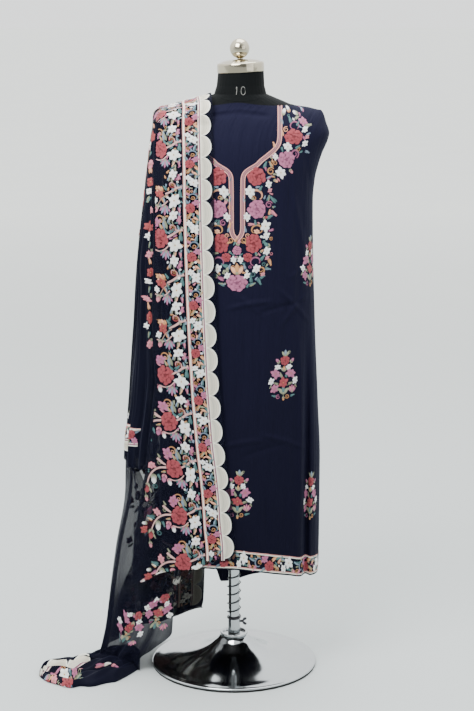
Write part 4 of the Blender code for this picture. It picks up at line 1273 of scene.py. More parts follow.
BUTTI = (
    ("fan", 5, 45, 17, 0, "sage", "blue"), ("curl", 14, 55, 8, 20, "sage"),
    ("rose", 4, 36, 24, 0, "red"), ("bud", -9, 30, 14, 40, "mauve"),
    ("bud", 17, 30, 14, -40, "mauve"), ("blossom", -14, 21, 14, 0, "white"),
    ("blossom", 14, 21, 14, 30, "white"), ("fan", 2, 9, 14, 0, "sage", "gold"),
    ("blossom", -19, 5, 23, 0, "mauve"), ("blossom", 19, 5, 23, 30, "mauve"),
    ("leaf", -3, -5, 14, 20, "sage"), ("leaf", 6, -5, 14, -20, "teal"),
    ("blossom", 0, -17, 24, 0, "red"), ("blossom", -30, -13, 16, 0, "white"),
    ("blossom", 30, -13, 16, 20, "white"), ("blossom", -22, -31, 20, 0, "mauve"),
    ("lotus", 22, -42, 20, 0, "mauve", "pink"), ("fan", 0, -46, 21, 0, "sage", "teal"),
    ("curl", -13, -51, 11, 60, "mauve"), ("curl", 9, -50, 11, 200, "gold"),
    ("leaf", -8, -34, 13, 70, "sage"), ("leaf", 8, -34, 13, -70, "sage"),
    ("leaf", -17, -50, 13, 75, "teal"), ("leaf", 17, -50, 13, -75, "teal"),
    ("leaf", -30, -22, 9, 150, "sage"), ("leaf", 30, -22, 9, -150, "sage"),
    ("leaf", 12, -20, 11, -70, "sage"), ("leaf", -12, -20, 11, 70, "sage"),
    ("bud", 0, -50, 10, 180, "gold"),
)

# one length of the border's band, from its rose
BAND = (
    ("rose", -5, 0, (22, 23), 0, "red"), ("blossom", 8, 13, 16, 30, "mauve"),
    ("leaf", -10, 9, 16, 25, "teal", "blue"), ("arch", 1, 26, 19, -15, "blue"),
    ("curl", 1, 25, 10, 200, "gold"), ("leaf", 10, 25, 14, -35, "sage", "gold"),
    ("leaf", -5, 32, 15, 55, "mauve", "pink"), ("leaf", 5, 36, 16, -10, "blue", "teal"),
    ("curl", -8, 41, 9, 80, "gold"), ("leaf", 6, -5, 16, 215, "gold", "peach"),
    ("leaf", -2, -10, 15, 150, "sage", "gold"), ("leaf", 10, -14, 14, 190, "teal"),
    ("curl", -9, -20, 10, 90, "gold"), ("leaf", 1, -21, 13, 240, "peach"),
    ("leaf", 9, -27, 14, 170, "blue", "sage"), ("blossom", -8, -36, 14, 0, "white"),
    ("blossom", 3, -48, 22, 20, "white"), ("leaf", -7, -43, 14, 160, "teal"),
    ("leaf", 10, -35, 12, -40, "teal"), ("bud", -9, -56, 11, 150, "pink"),
)

# what shows of the band on the trailing stretch
TRAIL_SPRAY = (
    ("rose", -11, 0, (22, 27), 0, "red"), ("blossom", 6, 10, (16, 21), 0, "white"),
    ("blossom", 7, -14, (15, 18), 20, "mauve"), ("leaf", -7, -22, 17, 190, "sage", "teal"),
    ("curl", 3, -29, 12, 90, "sage"), ("blossom", -6, 27, 14, 0, "pink"),
    ("leaf", 5, 25, 15, 20, "gold", "peach"), ("leaf", -11, 17, 14, 30, "sage"),
    ("leaf", 10, -2, 11, 100, "teal"), ("bud", 8, 34, 13, 10, "pink"),
    ("leaf", -12, -34, 14, 160, "teal", "sage"), ("blossom", -1, 42, 12, 0, "rust"),
)

# one length of the vine beside the band, from its rose's height at the band's edge
VINE_NEAR = (
    ("stem", ((-1, 22), (-12, 19), (-24, 11), (-42, 2)), (7.0, 4.5), "blush"),
    ("stem", ((-74, -25), (-58, -29), (-46, -25), (-36, -16)), (2.6, 3.0), "blush"),
    ("stem", ((-16, 18), (-20, 30), (-30, 32), (-31, 24)), (3.4, 2.0), "blush"),
    ("stem", ((-22, 30), (-25, 40), (-23, 50)), (2.6, 2.0), "sage"),
    ("blossom", -20, -15, (29, 34), 15, "white"), ("curl", -24, 27, 17, 140, "rust"),
    ("curl", -24, 27, 9, 320, "gold"), ("blossom", -23, 54, 23, 0, "white"),
    ("leaf", -13, 38, 18, -25, "mauve", "pink"), ("leaf", -6, 40, 15, 15, "pink", "mauve"),
    ("leaf", -6, -6, 22, 0, "teal"), ("leaf", -6, 18, 16, 30, "blue", "teal"),
    ("lotus", -42, -25, 25, 175, "mauve", "blue"), ("leaf", -20, -30, 17, 165, "peach", "sage"),
    ("leaf", -9, -30, 15, 190, "pink", "mauve"), ("leaf", -31, -28, 13, 150, "teal"),
    ("leaf", -36, 36, 17, -20, "blue", "sage"), ("leaf", -13, 2, 15, 120, "sage", "gold"),
    ("leaf", -38, 12, 15, 40, "teal"), ("leaf", -5, -24, 12, 160, "blue", "teal"),
)
VINE_MIDDLE = (
    ("rose", -57, 0, (41, 48), 0, "red"), ("blossom", -68, 37, 25, 40, "mauve"),
    ("arch", -57, 44, 19, -30, "gold"), ("curl", -56, 42, 10, 200, "peach"),
    ("leaf", -50, 22, 16, 30, "sage", "gold"), ("leaf", -42, 22, 28, 12, "blue", "sage"),
    ("leaf", -34, 15, 18, -60, "teal"), ("leaf", -56, -26, 14, 200, "teal"),
    ("leaf", -66, 22, 14, 60, "pink", "mauve"), ("leaf", -78, -8, 13, 100, "sage", "gold"),
)
VINE_FAR = (
    ("stem", ((-76, 2), (-93, 0), (-109, -8), (-122, -22), (-132, -42)), (5.5, 3.0), "blush"),
    ("stem", ((-76, 8), (-86, 14), (-96, 23)), (3.0, 7.5, 6.5), "blush"),
    ("stem", ((-100, -4), (-106, 0), (-112, 6)), (2.6, 1.8), "sage"),
    ("bud", -82, -14, 22, 165, "mauve", "pink"), ("bud", -74, -24, 18, 190, "white", "pink"),
    ("bud", -111, -16, 25, 175, "white"), ("curl", -110, -47, 14, 90, "teal"),
    ("leaf", -100, -16, 16, 200, "teal"), ("curl", -92, 12, 10, 80, "sage"),
    ("blossom", -113, 5, 20, 0, "pink"), ("leaf", -120, -10, 23, 80, "teal"),
    ("leaf", -128, -18, 15, 60, "gold", "cream"), ("bud", -142, -24, 15, 100, "white"),
    ("bud", -131, -38, 26, 170, "red"), ("blossom", -152, -42, 20, 130, "rust"),
    ("stem", ((-134, -52), (-139, -64), (-138, -74)), (2.2, 1.6), "sage"),
    ("bud", -138, -70, 16, 180, "pink"), ("leaf", -128, -52, 13, 210, "sage"),
    ("leaf", -88, 24, 12, 30, "sage"),
)
# what the far branch carries where the shoulder gathers it close
VINE_GATHERED = (
    ("acanthus", -78, 8, 32, 70, "gold", "peach"), ("blossom", -92, 2, 24, 10, "rust"),
    ("blossom", -104, -14, 15, 0, "white"), ("leaf", -84, -8, 18, 200, "blue", "gold"),
    ("bud", -98, -24, 20, 165, "pink"), ("leaf", -92, -22, 16, 215, "teal"),
    ("stem", ((-70, 0), (-84, -8), (-98, -28)), (3.0, 2.0), "tan"),
)
# what the lowest branch carries along the front drop's slanting edge
VINE_LOWEST = (
    ("leaf", -98, -28, 17, 96, "white", "cream"), ("leaf", -113, -31, 18, 108, "white"),
    ("leaf", -126, -27, 20, 118, "pink", "mauve"), ("leaf", -144, -37, 27, 126, "red", "rust"),
    ("leaf", -163, -51, 15, 124, "white", "blush"),
)


# what the vine carries on the side pleats, across from the front drop's fold
VINE_FOLDED = (
    ("leaf", -7, 42, 19, 20, "gold", "peach"), ("blossom", -6, 23, 25, 0, "rust"),
    ("blossom", -10, 1, 17, 0, "white"), ("leaf", -7, -10, 16, 170, "teal", "sage"),
    ("blossom", -8, -41, 19, 0, "pink"), ("leaf", -4, -26, 12, 190, "sage"),
)
# what trails beside the border on the floor
TRAIL_VINE = (
    ("leaf", -176, 116, 26, 168, "mauve", "pink"), ("leaf", -182, 94, 20, 190, "white", "cream"),
    ("bud", -186, 74, 28, 172, "mauve", "pink"), ("leaf", -196, 108, 16, 150, "gold", "peach"),
)

FILL_TONES = ["teal", "sage", "gold", "blue", "mauve", "peach"]
# places across the border, from the cloth's edge at 0 inward
INNER_LINE = -0.0312
BAND_SIDES = (-0.0635, -0.0362)
BAND_MIDDLE = -0.0500
OUTER_LINE = -0.0685
VINE_EDGE = -0.0735
BORDER_ROSE = 1.2684         # the height of one rose of the band, and of one scallop's notch
BORDER_NOTCH = 1.1724


def front_rose(k):
    """The height of a rose of the front drop's vine, counted from the top."""
    return 1.2899 - 0.11013 * k + 0.021 * math.sin(math.pi * k / 9)


def behind_roses(first, end):
    """The heights of roses of the vine past the shoulder."""
    return [1.3079 + 0.1101 * k for k in range(first, end)]


class Embroidery(Stitching):
    """The suit's own embroidery, drawn from its tables."""

    STRIPE_STEP = 0.004
    SCALLOP = 0.0575             # from notch to notch
    BAND_ROW = 0.1137            # from one rose of the band to the next

    def table(self, rows, where=None):
        """Draws a table, with its stems first, so that the flowers lie over them."""
        for row in rows:
            if row[0] == "stem" and self.drawn_at(np.mean(row[1], axis=0) * MM):
                self.stem(*row[1:])
        self.draw([row for row in rows if row[0] != "stem"], where)

    def stripe(self, x, low, high, strands):
        """Long stitched lines side by side: how far off x each lies, its width and colours."""
        count = max(int((high - low) / self.STRIPE_STEP), 2)
        for off, width, edge, middle in strands:
            path = [(x + off, low + (high - low) * k / count) for k in range(count + 1)]
            self.ribbon(path, (width,), (edge, middle), dome=0.0006)

    def scallop(self, y, lift=0.0, lines=3):
        """One half-round tab of cream satin stitch, with a bright rim and stitched arcs."""
        inner, deep = -0.0280, 0.0236
        turns = np.linspace(-math.pi / 2, math.pi / 2, 25)
        rim_x, rim_y = np.cos(turns) ** 0.85 * deep, self.SCALLOP / 2 * np.sin(turns)
        s = np.linspace(0, 1, 8)
        flat = stacked(inner + rim_x[:, None] * s, y + 0.985 * rim_y[:, None])
        tint = self.shaded("cream", (0.90 + 0.10 * np.cos(9.0 * s))[None, :, None])
        self.add(flat, self.EDGE + lift + 0.0005 * (1 - (2 * s - 1) ** 2), tint, flat[..., ::-1])
        for share, width, colour, over in ((0.95, 0.0030, "white", 0.0003),
                                           (0.62, 0.0010, "shade", 0.0004),
                                           (0.34, 0.0009, "shade", 0.0004))[:lines]:
            path = stacked(inner + rim_x * share, y + rim_y * (0.55 + 0.44 * share))
            self.ribbon(path, (width * 0.7, width, width, width, width * 0.7),
                        (colour, colour), lift=lift + over, dome=0.0003)

    INNER_STRIPE = ((0.0028, 0.0030, "cream", "white"), (0.0000, 0.0016, "mauve", "mauve"),
                    (-0.0026, 0.0028, "blush", "white"))
    OUTER_STRIPE = ((0.0025, 0.0020, "salmon", "blush"), (0.0000, 0.0030, "cream", "white"),
                    (-0.0025, 0.0020, "salmon", "blush"))

    def edge_border(self, low, high, first_rose, first_notch, filler_seed):
        """The scalloped border along the cloth's edge at x = 0, from low to high."""
        self.stripe(INNER_LINE, low, high, self.INNER_STRIPE)
        self.stripe(OUTER_LINE, low, high, self.OUTER_STRIPE)
        notch = first_notch
        while notch > low + self.SCALLOP:
            notch -= self.SCALLOP
        while notch + self.SCALLOP <= high + 0.001:
            self.scallop(notch + self.SCALLOP / 2)
            notch += self.SCALLOP
        row = first_rose
        while row > low + 0.03:
            row -= self.BAND_ROW
        self.spots = []
        first, last = low + 0.006, high - 0.006
        origin, back = self.origin, np.linalg.inv(self.matrix)
        self.keeps = lambda x, y: first < (back @ (np.array((x, y)) - origin))[1] < last
        while row < high + 0.05:
            with self.placed((BAND_MIDDLE, row), 0.0, (1.12, 1.0)):
                self.table(BAND)
            row += self.BAND_ROW
        self.keeps = None
        left, right = BAND_SIDES
        self.fill(((left - 0.001, low), (right + 0.0007, high)),
                  lambda x, y: left < x < right and first < y < last,
                  filler_seed, int((high - low) * 4200), FILL_TONES + ["pink"], (0.005, 0.010))

    def vine(self, rows, hidden=(), gathered=()):
        """The vine beside the band: its roses' heights, and which are folded out of sight."""
        for k, row in enumerate(rows):
            with self.placed((VINE_EDGE, row)):
                self.table(VINE_NEAR)
                if k not in hidden:
                    self.table(VINE_MIDDLE)
                with self.placed((0.035 if k in hidden else 0.0, 0.0)):
                    self.table(VINE_GATHERED if k in gathered else VINE_FAR)
        low, high = min(rows) - 0.06, max(rows) + 0.06
        self.fill(((-0.118, low), (VINE_EDGE - 0.001, high)),
                  lambda x, y: self.drawn_at((x, y)), len(rows), int((high - low) * 1500),
                  ["teal", "sage", "blue", "gold", "mauve", "teal"], (0.007, 0.010), 0.0008)


# ---- the suit's cloths ----

def eased(count, first=0.0, last=1.0):
    """Numbers from first to last that crowd towards both ends."""
    return first + (last - first) * (0.5 - 0.5 * np.cos(np.linspace(0, math.pi, count)))


@functools.cache
def kameez_cloth(face):
    """The front (-1) or back (1) panel: its pattern is measured from the suit's middle line."""
    share = np.sin(np.linspace(-1, 1, 161) * math.pi / 2)
    angles = np.degrees(np.arcsin(signed_power(share, 1.25)))
    down = np.concatenate([np.linspace(0, 0.06, 22)[:-1], np.linspace(0.06, 1, 275)])
    points = kameez_point(angles[None, :], down[:, None], face)
    across = walked(points, 1)
    across = across - across[:, 80:81]
    return Cloth(points, (0, face, 0), across if face < 0 else -across, points[..., 2])


ACROSS = np.linspace(0, 1, 77)
FOLD_ACROSS = np.linspace(1, 1.3, 15)
BACK_ROWS = 250
PATTERN_FROM = 1.10          # at this height the dupatta's pattern is as high as it hangs
DRAWN_UP_FROM = 1.17         # above it the cloth is drawn up, and its pattern with it
DRAWN_UP = 0.87


@functools.cache
def dupatta_lengths():
    """The dupatta's outer stretch as grids: its front drop and shoulder, the strip round the
    front's fold, and its back drop, which runs out on the floor."""
    down = np.linspace(1, 0, 261)
    front = front_drop_point(ACROSS[None, :], down[:, None])
    fold = front_drop_point(FOLD_ACROSS[None, :], down[:, None])
    shoulder = shoulder_point(*np.broadcast_arrays(ACROSS[None, :],
                                                   np.linspace(0, 1, 49)[1:, None]))
    shares = np.concatenate([ACROSS * BACK_SHARE, np.linspace(BACK_SHARE, 1, 23)[1:]])
    back = back_drop_point(shares[None, :], np.linspace(0, 1, BACK_ROWS + 1)[:, None])
    return (np.concatenate([front, shoulder]), fold,
            np.concatenate([back, run_out(back, shares)]), turned_in())


TURNED_FROM = 0.66           # how far down the back drop its inner edge is turned in


def turned_in():
    """The back drop's inner edge below the pleats, doubled on its inner side."""
    down = np.linspace(TURNED_FROM, 1.0, 70)[:, None]
    inward = np.linspace(0, 1, 40)[None, :]
    share = (0.30 + 0.16 * smooth((down - 0.72) / 0.22)) * inward
    points = back_drop_point(share, down)
    wave = 0.010 * inward ** 0.7 * (1 + 0.35 * np.sin(44 * share + 9 * down))
    fade = smooth((down - TURNED_FROM) / 0.05)
    points[..., :2] -= away(points) * (wave * (0.3 + 0.7 * fade))[..., None]
    points[..., 2] += 0.004 * inward
    return points


def turned_in_cloth():
    """The inner side of the back drop's edge, where the embroidery's reverse shows."""
    points = turned_in()
    row = round(TURNED_FROM * BACK_ROWS)
    return Cloth(points, (0, -1, 0), -walked(points, 1),
                 dupatta_cloth().second.flat[row, 0, 1] + walked(points, 0))


def run_out(back, shares):
    """The rows in which the back drop's lower edge flares over the tail and the floor."""
    x, y, z = back[-1].T
    out_x, out_y = away(back[-1]).T
    far = 0.005 + 0.030 * bump(shares, 0.66, 0.16)
    far = far + 0.010 * np.sin(31 * shares) * smooth((shares - 0.40) / 0.2)
    low = smooth((shares - 0.30) / 0.25)
    share = np.linspace(0, 1, 13)[1:, None]
    x, y = x + out_x * far * share, y + out_y * far * share
    ground = tail_height(x, y) + 0.0024 + 0.0022 * (1 + np.sin(75 * shares)) * (1 - share)
    landed = ground + (z - ground) * (1 - share) ** 2.2
    return stacked(x, y, landed * low + (z - 0.006 * share) * (1 - low))


@functools.cache
def dupatta_cloth():
    """The dupatta's pattern, up its front drop, over the shoulder and down behind."""
    outer, _, back, *_ = dupatta_lengths()
    count = len(ACROSS)
    whole = np.concatenate([outer, back[1:, :count]])
    heights = walked(whole, 0)
    level = int(np.argmin(np.abs(whole[:, count // 2, 2] - PATTERN_FROM)[:300]))
    heights = heights - heights[level] + whole[level, :, 2]
    heights = heights + np.maximum(heights - DRAWN_UP_FROM, 0.0) * (1 / DRAWN_UP - 1)
    shoulder_end = len(outer) - 1
    start = np.concatenate([heights[shoulder_end],
                            np.full(back.shape[1] - count, heights[shoulder_end, -1])])
    heights[shoulder_end:] = start[:count] + walked(whole[shoulder_end:], 0)
    behind = Cloth(back, (-1, 0.4, 0), -walked(back, 1), start + walked(back, 0))
    first = Cloth(whole, (0, -1, 0), -walked(whole, 1), heights)
    first.normals = facing(whole, first.normals)
    return JoinedCloth(first, behind, start.max() + 0.012)


def facing(points, normals):
    """Normals turned to face away from the suit's middle."""
    out = points - np.array((-0.02, 0.0, 1.0))
    out[..., 2] = np.maximum(points[..., 2] - 1.30, 0.0) * 4
    wrong = (normals * out).sum(axis=-1) < 0
    return np.where(wrong[..., None], -normals, normals)


@functools.cache
def pleats_cloth():
    """The side pleats: their pattern is measured from their rear edge."""
    points = side_pleat_point(np.linspace(0, 1, 131)[None, :], np.linspace(0, 1, 171)[:, None])
    return Cloth(points, (-1, 0, 0), walked(points, 1), points[..., 2])


@functools.cache
def tail_cloth():
    """The trailing stretch: its pattern is measured from its far edge and its root."""
    along = np.concatenate([eased(12, 0, 0.06)[:-1], np.linspace(0.06, 0.94, 90),
                            eased(14, 0.94, 1.0)[1:]])[None, :]
    side = eased(71, -1, 1)[:, None]
    edge = np.clip(1 - np.abs(side) ** 4, 0, 1) ** 0.5
    ends = smooth((1 - along) / 0.03)
    half = TAIL("half_width", along)
    x = TAIL("x", along) + 0.004 * side * np.sin(16 * along)
    y = TAIL("y", along) + half * side * (1 + 0.035 * np.sin(23 * along + 2 * side))
    ripple = 0.80 + 0.20 * np.cos(3 * math.pi * side + 4 * along)
    folds = 0.26 * np.sin(2 * math.pi * (1.9 * side - 1.6 * along) + 0.7)
    folds = folds + 0.13 * np.sin(2 * math.pi * (4.1 * side + 2.6 * along) + 2.0)
    top = TAIL("height", along) * edge * (ripple + folds * edge) * ends
    points = stacked(x, y, top + 0.0008 + 0.0014 * edge)
    far = walked(points, 0)
    ahead = walked(points, 1)[int(len(points) * 0.75)]
    return Cloth(points, (0, 0, 1), far - far[-1:], ahead[None, :] + 0 * far)


@functools.cache
def neck_cloth():
    """The form's neck and the root of its shoulders, as a surface to sew on."""
    turn = np.radians(np.linspace(-180, 180, 145))[None, :]
    z = np.linspace(1.380, 1.459, 60)[:, None]
    power = 2 / FORM("square", z)
    x = lean(z) + FORM("width", z) * signed_power(np.sin(turn), power)
    y = -FORM("depth", z) * signed_power(np.cos(turn), power)
    points = stacked(x, y, z)
    return Cloth(points, (0, -1, 0), turn * 0.056 + 0 * z, z + 0 * turn)


# ---- what a user may change ----

def colour_of(name, about, red, green, blue):
    """A colour property with its default given from 0 to 255."""
    return bpy.props.FloatVectorProperty(
        name=name, description=about, subtype="COLOR", size=3, min=0.0, max=1.0,
        default=linear(red, green, blue))


class SuitThreads(bpy.types.PropertyGroup):
    """The colours of the embroidery's floss."""

    red: colour_of("Rose red", "Floss of the large roses", 140, 50, 58)
    rust: colour_of("Rust", "Floss of the dark small flowers", 138, 52, 52)
    mauve: colour_of("Mauve", "Floss of the mauve flowers", 158, 90, 122)
    pink: colour_of("Pink", "Floss of the small pink flowers", 190, 116, 128)
    blush: colour_of("Blush", "Floss of the pale stems and stripes", 226, 178, 172)
    salmon: colour_of("Salmon", "Floss of the stripes' edges", 214, 138, 124)
    peach: colour_of("Peach", "Floss of the peach leaves", 220, 158, 124)
    gold: colour_of("Gold", "Floss of the scrolls", 190, 136, 88)
    tan: colour_of("Tan", "Floss of the thick stems", 176, 142, 128)
    sage: colour_of("Sage", "Floss of the grey-green leaves", 134, 138, 112)
    teal: colour_of("Teal", "Floss of the dark leaves", 66, 104, 104)
    blue: colour_of("Grey-blue", "Floss of the cool leaves", 112, 130, 148)
    white: colour_of("White", "Floss of the white flowers", 246, 246, 234)
    cream: colour_of("Cream", "Floss of the scalloped edge", 232, 226, 208)
    shade: colour_of("Shaded cream", "Floss of the scallops' arcs", 186, 190, 172)


class SuitFinishes(bpy.types.PropertyGroup):
    """The colours and cover of the cloths and the stand."""

    crepe: colour_of("Crepe", "Navy of the kameez", 15, 15, 32)
    georgette: colour_of("Georgette", "Navy of the dupatta", 9, 10, 24)
    cover: bpy.props.FloatProperty(
        name="Cover", description="How much of the ground one layer of the dupatta hides",
        default=0.80, min=0.3, max=1.0, subtype="FACTOR")
    form: colour_of("Form cover", "The form's stretch cover", 9, 11, 12)
    chrome: colour_of("Chrome", "The plated base, pole and cap", 180, 184, 186)
    cap: colour_of("Cap", "The warmer plate of the neck's cap and ball", 190, 182, 162)
    steel: colour_of("Steel", "The spring and the wing screw", 70, 70, 74)
    rubber: colour_of("Rubber", "The ring under the base", 20, 20, 20)
    near_floor: colour_of("Near floor", "The floor round the stand", 190, 196, 196)
    far_floor: colour_of("Far floor", "The floor further off", 243, 245, 242)


class SuitStudio(bpy.types.PropertyGroup):
    """The camera and the lights."""

    camera_distance: bpy.props.FloatProperty(
        name="Camera distance", description="From the suit to the camera",
        default=4.0, min=1.0, max=20.0, subtype="DISTANCE", unit="LENGTH")
    camera_height: bpy.props.FloatProperty(
        name="Camera height", description="The camera above the floor",
        default=1.593, min=0.1, max=5.0, subtype="DISTANCE", unit="LENGTH")
    camera_drop: bpy.props.FloatProperty(
        name="Camera tilt", description="How far the camera looks down",
        default=0.1997, min=-1.0, max=1.5, subtype="ANGLE", unit="ROTATION")
    lens: bpy.props.FloatProperty(
        name="Lens", description="Focal length in millimetres",
        default=85.32, min=10.0, max=300.0, unit="CAMERA")
    key: bpy.props.FloatProperty(
        name="Key light", description="Power of the large light at the front left",
        default=80.0, min=0.0, unit="POWER")
    fill: bpy.props.FloatProperty(
        name="Fill light", description="Power of the light at the front right",
        default=30.0, min=0.0, unit="POWER")
    top: bpy.props.FloatProperty(
        name="Top light", description="Power of the light above",
        default=70.0, min=0.0, unit="POWER")
    room: bpy.props.FloatProperty(
        name="Room light", description="Strength of the pale room's own light",
        default=2.0, min=0.0)


def threads():
    """Each floss's colour by name."""
    given = bpy.context.scene.suit_threads
    return {name: tuple(getattr(given, name)) for name in SuitThreads.__annotations__}


def sewing():
    """A fresh lot of embroidery."""
    return Embroidery(threads())


# ---- one operator for each piece or group of pieces ----

class MakeStage(bpy.types.Operator):
    """Lay the floor, hang the soft lights and set the camera."""

    bl_idname = "suit.stage"
    bl_label = "Stage"

    LEVEL, ABOVE = 0.885, 1.35   # shares of the room's light at the horizon and overhead

    def execute(self, context):
        studio = context.scene.suit_studio
        self.floor()
        self.world(context, studio.room)
        self.lamp("key_light", studio.key, 1.2, (-0.75, -1.3, 2.6), (0, 0, 1.2))
        self.lamp("fill_light", studio.fill, 2.6, (2.8, -2.6, 2.2), (0, 0, 0.8))
        self.lamp("top_light", studio.top, 2.0, (0.2, 0.6, 3.6), (0, 0, 0.4))
        self.camera(context, studio)
        return {"FINISHED"}

    def floor(self):
        """A wide floor that fills what the camera sees."""
        half, height = 900.0, -0.0004
        mesh = bpy.data.meshes.new("floor")
        corners = [(half * x, half * y, height) for x, y in ((-1, -1), (1, -1), (1, 1), (-1, 1))]
        mesh.from_pydata(corners, [], [(0, 1, 2, 3)])
        mesh.materials.append(finish("floor"))
        floor = bpy.data.objects.new("floor", mesh)
        bpy.context.scene.collection.objects.link(floor)

    def world(self, context, strength):
        """A pale room, brighter above. What it lights finds it dim before the suit."""
        room = bpy.data.worlds.new("pale_room")
        made = Nodes(room)
        sky = made.tree.nodes["Background"]
        way = made.node("ShaderNodeTexCoord", output="Generated")
        rise = (way.part("Z").clamped() * (self.ABOVE - self.LEVEL) + self.LEVEL) * strength
        before = made.node("ShaderNodeMapRange", {
            "Value": way.part("Y"), "From Min": -0.85, "From Max": -0.10, "To Min": 0.15,
            "To Max": 1.0}, "Result", interpolation_type="SMOOTHSTEP")
        seen = made.node("ShaderNodeLightPath", output="Is Camera Ray")
        made.fill(sky.inputs["Color"], (0.93, 0.95, 0.95))
        made.fill(sky.inputs["Strength"], rise * rise.maths("MAXIMUM", before, seen))
        context.scene.world = room

    def lamp(self, name, power, size, at, towards):
        """One large soft light."""
        light = bpy.data.lights.new(name, "AREA")
        light.energy = power
        light.size = size
        lamp = bpy.data.objects.new(name, light)
        lamp.location = at
        x, y, z = np.array(towards) - np.array(at)
        lamp.rotation_euler = (math.atan2(math.hypot(x, y), -z), 0.0, math.atan2(-x, y))
        bpy.context.scene.collection.objects.link(lamp)

    def camera(self, context, studio):
        """The camera, before the suit and a little above its middle."""
        lens = bpy.data.cameras.new("suit_camera")
        lens.lens = studio.lens
        lens.clip_end = 200.0
        camera = bpy.data.objects.new("suit_camera", lens)
        camera.location = (0.0075, -studio.camera_distance, studio.camera_height)
        camera.rotation_euler = (math.pi / 2 - studio.camera_drop, 0.0, 0.0)
        context.scene.collection.objects.link(camera)
        context.scene.camera = camera


def turned_piece(name, line, count, material, seat=(0.0, 0.0, 0.0), tilt=0.0):
    """A piece turned on the pole's axis, or on a tilted one, from radii and heights."""
    line = np.array(line)
    turn = np.linspace(0, 2 * math.pi, count + 1)[None, :]
    x, y, z = line[:, :1] * np.sin(turn), -line[:, :1] * np.cos(turn), line[:, 1:] + 0 * turn
    points = stacked(x * math.cos(tilt) - z * math.sin(tilt), y,
                     x * math.sin(tilt) + z * math.cos(tilt)) + np.array(seat)
    return cloth_object(name, [points[:, :-1], points[:, [-2, -1]]], (0, -1, 0), material)


def bend(radius, height, wide, high, first, last, count):
    """A bend's radii and heights about its own middle, between two angles in degrees."""
    turns = np.radians(np.linspace(first, last, count))
    return zip(radius + wide * np.cos(turns), height + high * np.sin(turns))


def base_line():
    """The base from its middle out to its rim and under it: radii and heights."""
    flare = Sections("radius height", [
        (0.030, 0.072), (0.045, 0.0590), (0.070, 0.0400), (0.100, 0.0265), (0.135, 0.0175),
        (0.170, 0.0125), (0.194, 0.0098)])
    radii = np.linspace(0.0295, 0.192, 70)
    return [*zip(radii, flare("height", radii)), *bend(0.1985, 0.0066, 0.0065, 0.0036, 75, -60, 9),
            (0.1990, 0.0036), (0.1966, 0.0036), (0.1966, 0.0002)]


NECK_TILT = math.radians(3)      # the neck's top falls to the left
CAP_HEIGHT = 0.0305
SEAT_GAP = 0.0004                # between the neck's top and the cap


def cap_line():
    """The neck's cap from the middle of its top to its lower edge: radii and heights."""
    top = Sections("radius height", [
        (0.0, CAP_HEIGHT), (0.015, 0.0302), (0.029, 0.0290), (0.042, 0.0262), (0.050, 0.0232)])
    radii = np.linspace(0.0004, 0.0498, 40)
    return [*zip(radii, top("height", radii)), *bend(0.0493, 0.0172, 0.0060, 0.0060, 78, 0, 9),
            *bend(0.0538, 0.0015, 0.0015, 0.0015, 0, -90, 6), (0.0500, 0.0)]


def ball_line():
    """The ball and its short stem, from the top down: radii and heights."""
    radius, stem, turns = 0.0232, 0.0065, np.linspace(0.01, 2.80, 64)
    return [*zip(radius * np.sin(turns), radius * (1 + np.cos(turns))),
            (stem, 0.0006), (stem, -0.0005)]


class MakeStand(bpy.types.Operator):
    """Finish the chrome base, pole and cap, the spring, the screw and the rubber ring."""

    bl_idname = "suit.stand"
    bl_label = "Stand"

    def execute(self, context):
        wears = {
            "chrome": ("base_flange", "pole", "pole_sleeve"),
            "steel": ("pole_spring", "height_screw"),
            "rubber": ("base_ring",),
        }
        for name, nodes in wears.items():
            for node in nodes:
                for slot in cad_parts[node].material_slots:
                    slot.material = finish(name)
        base = turned_piece("base_plate", base_line(), 128, finish("chrome"))
        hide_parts("base")
        seat = np.array((NECK_SHIFT, 0.0, NECK_TOP + SEAT_GAP))
        up = np.array((-math.sin(NECK_TILT), 0.0, math.cos(NECK_TILT)))
        for name, node, line, at in (
                ("cap", "neck_cap", cap_line(), seat),
                ("ball", "cap_ball", ball_line(), seat + up * (CAP_HEIGHT + 2 * SEAT_GAP))):
            made = turned_piece(name, line, 96, finish("cap"), at, NECK_TILT)
            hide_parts(node)
        return {"FINISHED"}


class MakeForm(bpy.types.Operator):
    """Finish the torso's black cover, with the welt round its neck and its size number."""

    bl_idname = "suit.form"
    bl_label = "Dress form"

    def execute(self, context):
        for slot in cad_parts["form_torso"].material_slots:
            slot.material = finish("cover")
        welt = Embroidery({"welt": (0.01, 0.01, 0.01)})
        rise = Sections("turn height", [(0, 1.3965), (57, 1.4120), (90, 1.4225), (180, 1.4320)])
        turns = np.linspace(-math.pi, math.pi, 241)
        path = np.stack([turns * 0.056, rise("height", np.degrees(np.abs(turns)))], axis=-1)
        welt.ribbon(path, (0.0024,), ("welt", "welt"), dome=0.0006)
        welt.sew("form_neck_welt", neck_cloth(), "form_cover", "cover")
        number = Embroidery({"number": linear(150, 150, 146)})
        self.number(number)
        number.sew("form_size_number", neck_cloth(), "form_cover")
        return {"FINISHED"}

    def number(self, work):
        """The form's size, one and nought, in thin strokes."""
        low, tall, one_x = 1.4105, 0.0185, -0.0085
        one = [(one_x, low), (one_x, low + tall * 0.5), (one_x, low + tall)]
        flag = [(-0.0108, low + tall * 0.80), (one_x, low + tall)]
        turns = np.linspace(0, 2 * math.pi, 33)
        nought = stacked(0.0060 + 0.0048 * np.cos(turns), low + tall / 2 * (1 + np.sin(turns)))
        for path, width in ((one, 0.0011), (flag, 0.0010), (nought, 0.0011)):
            work.ribbon(path, (width,), ("number", "number"), dome=0.0001)


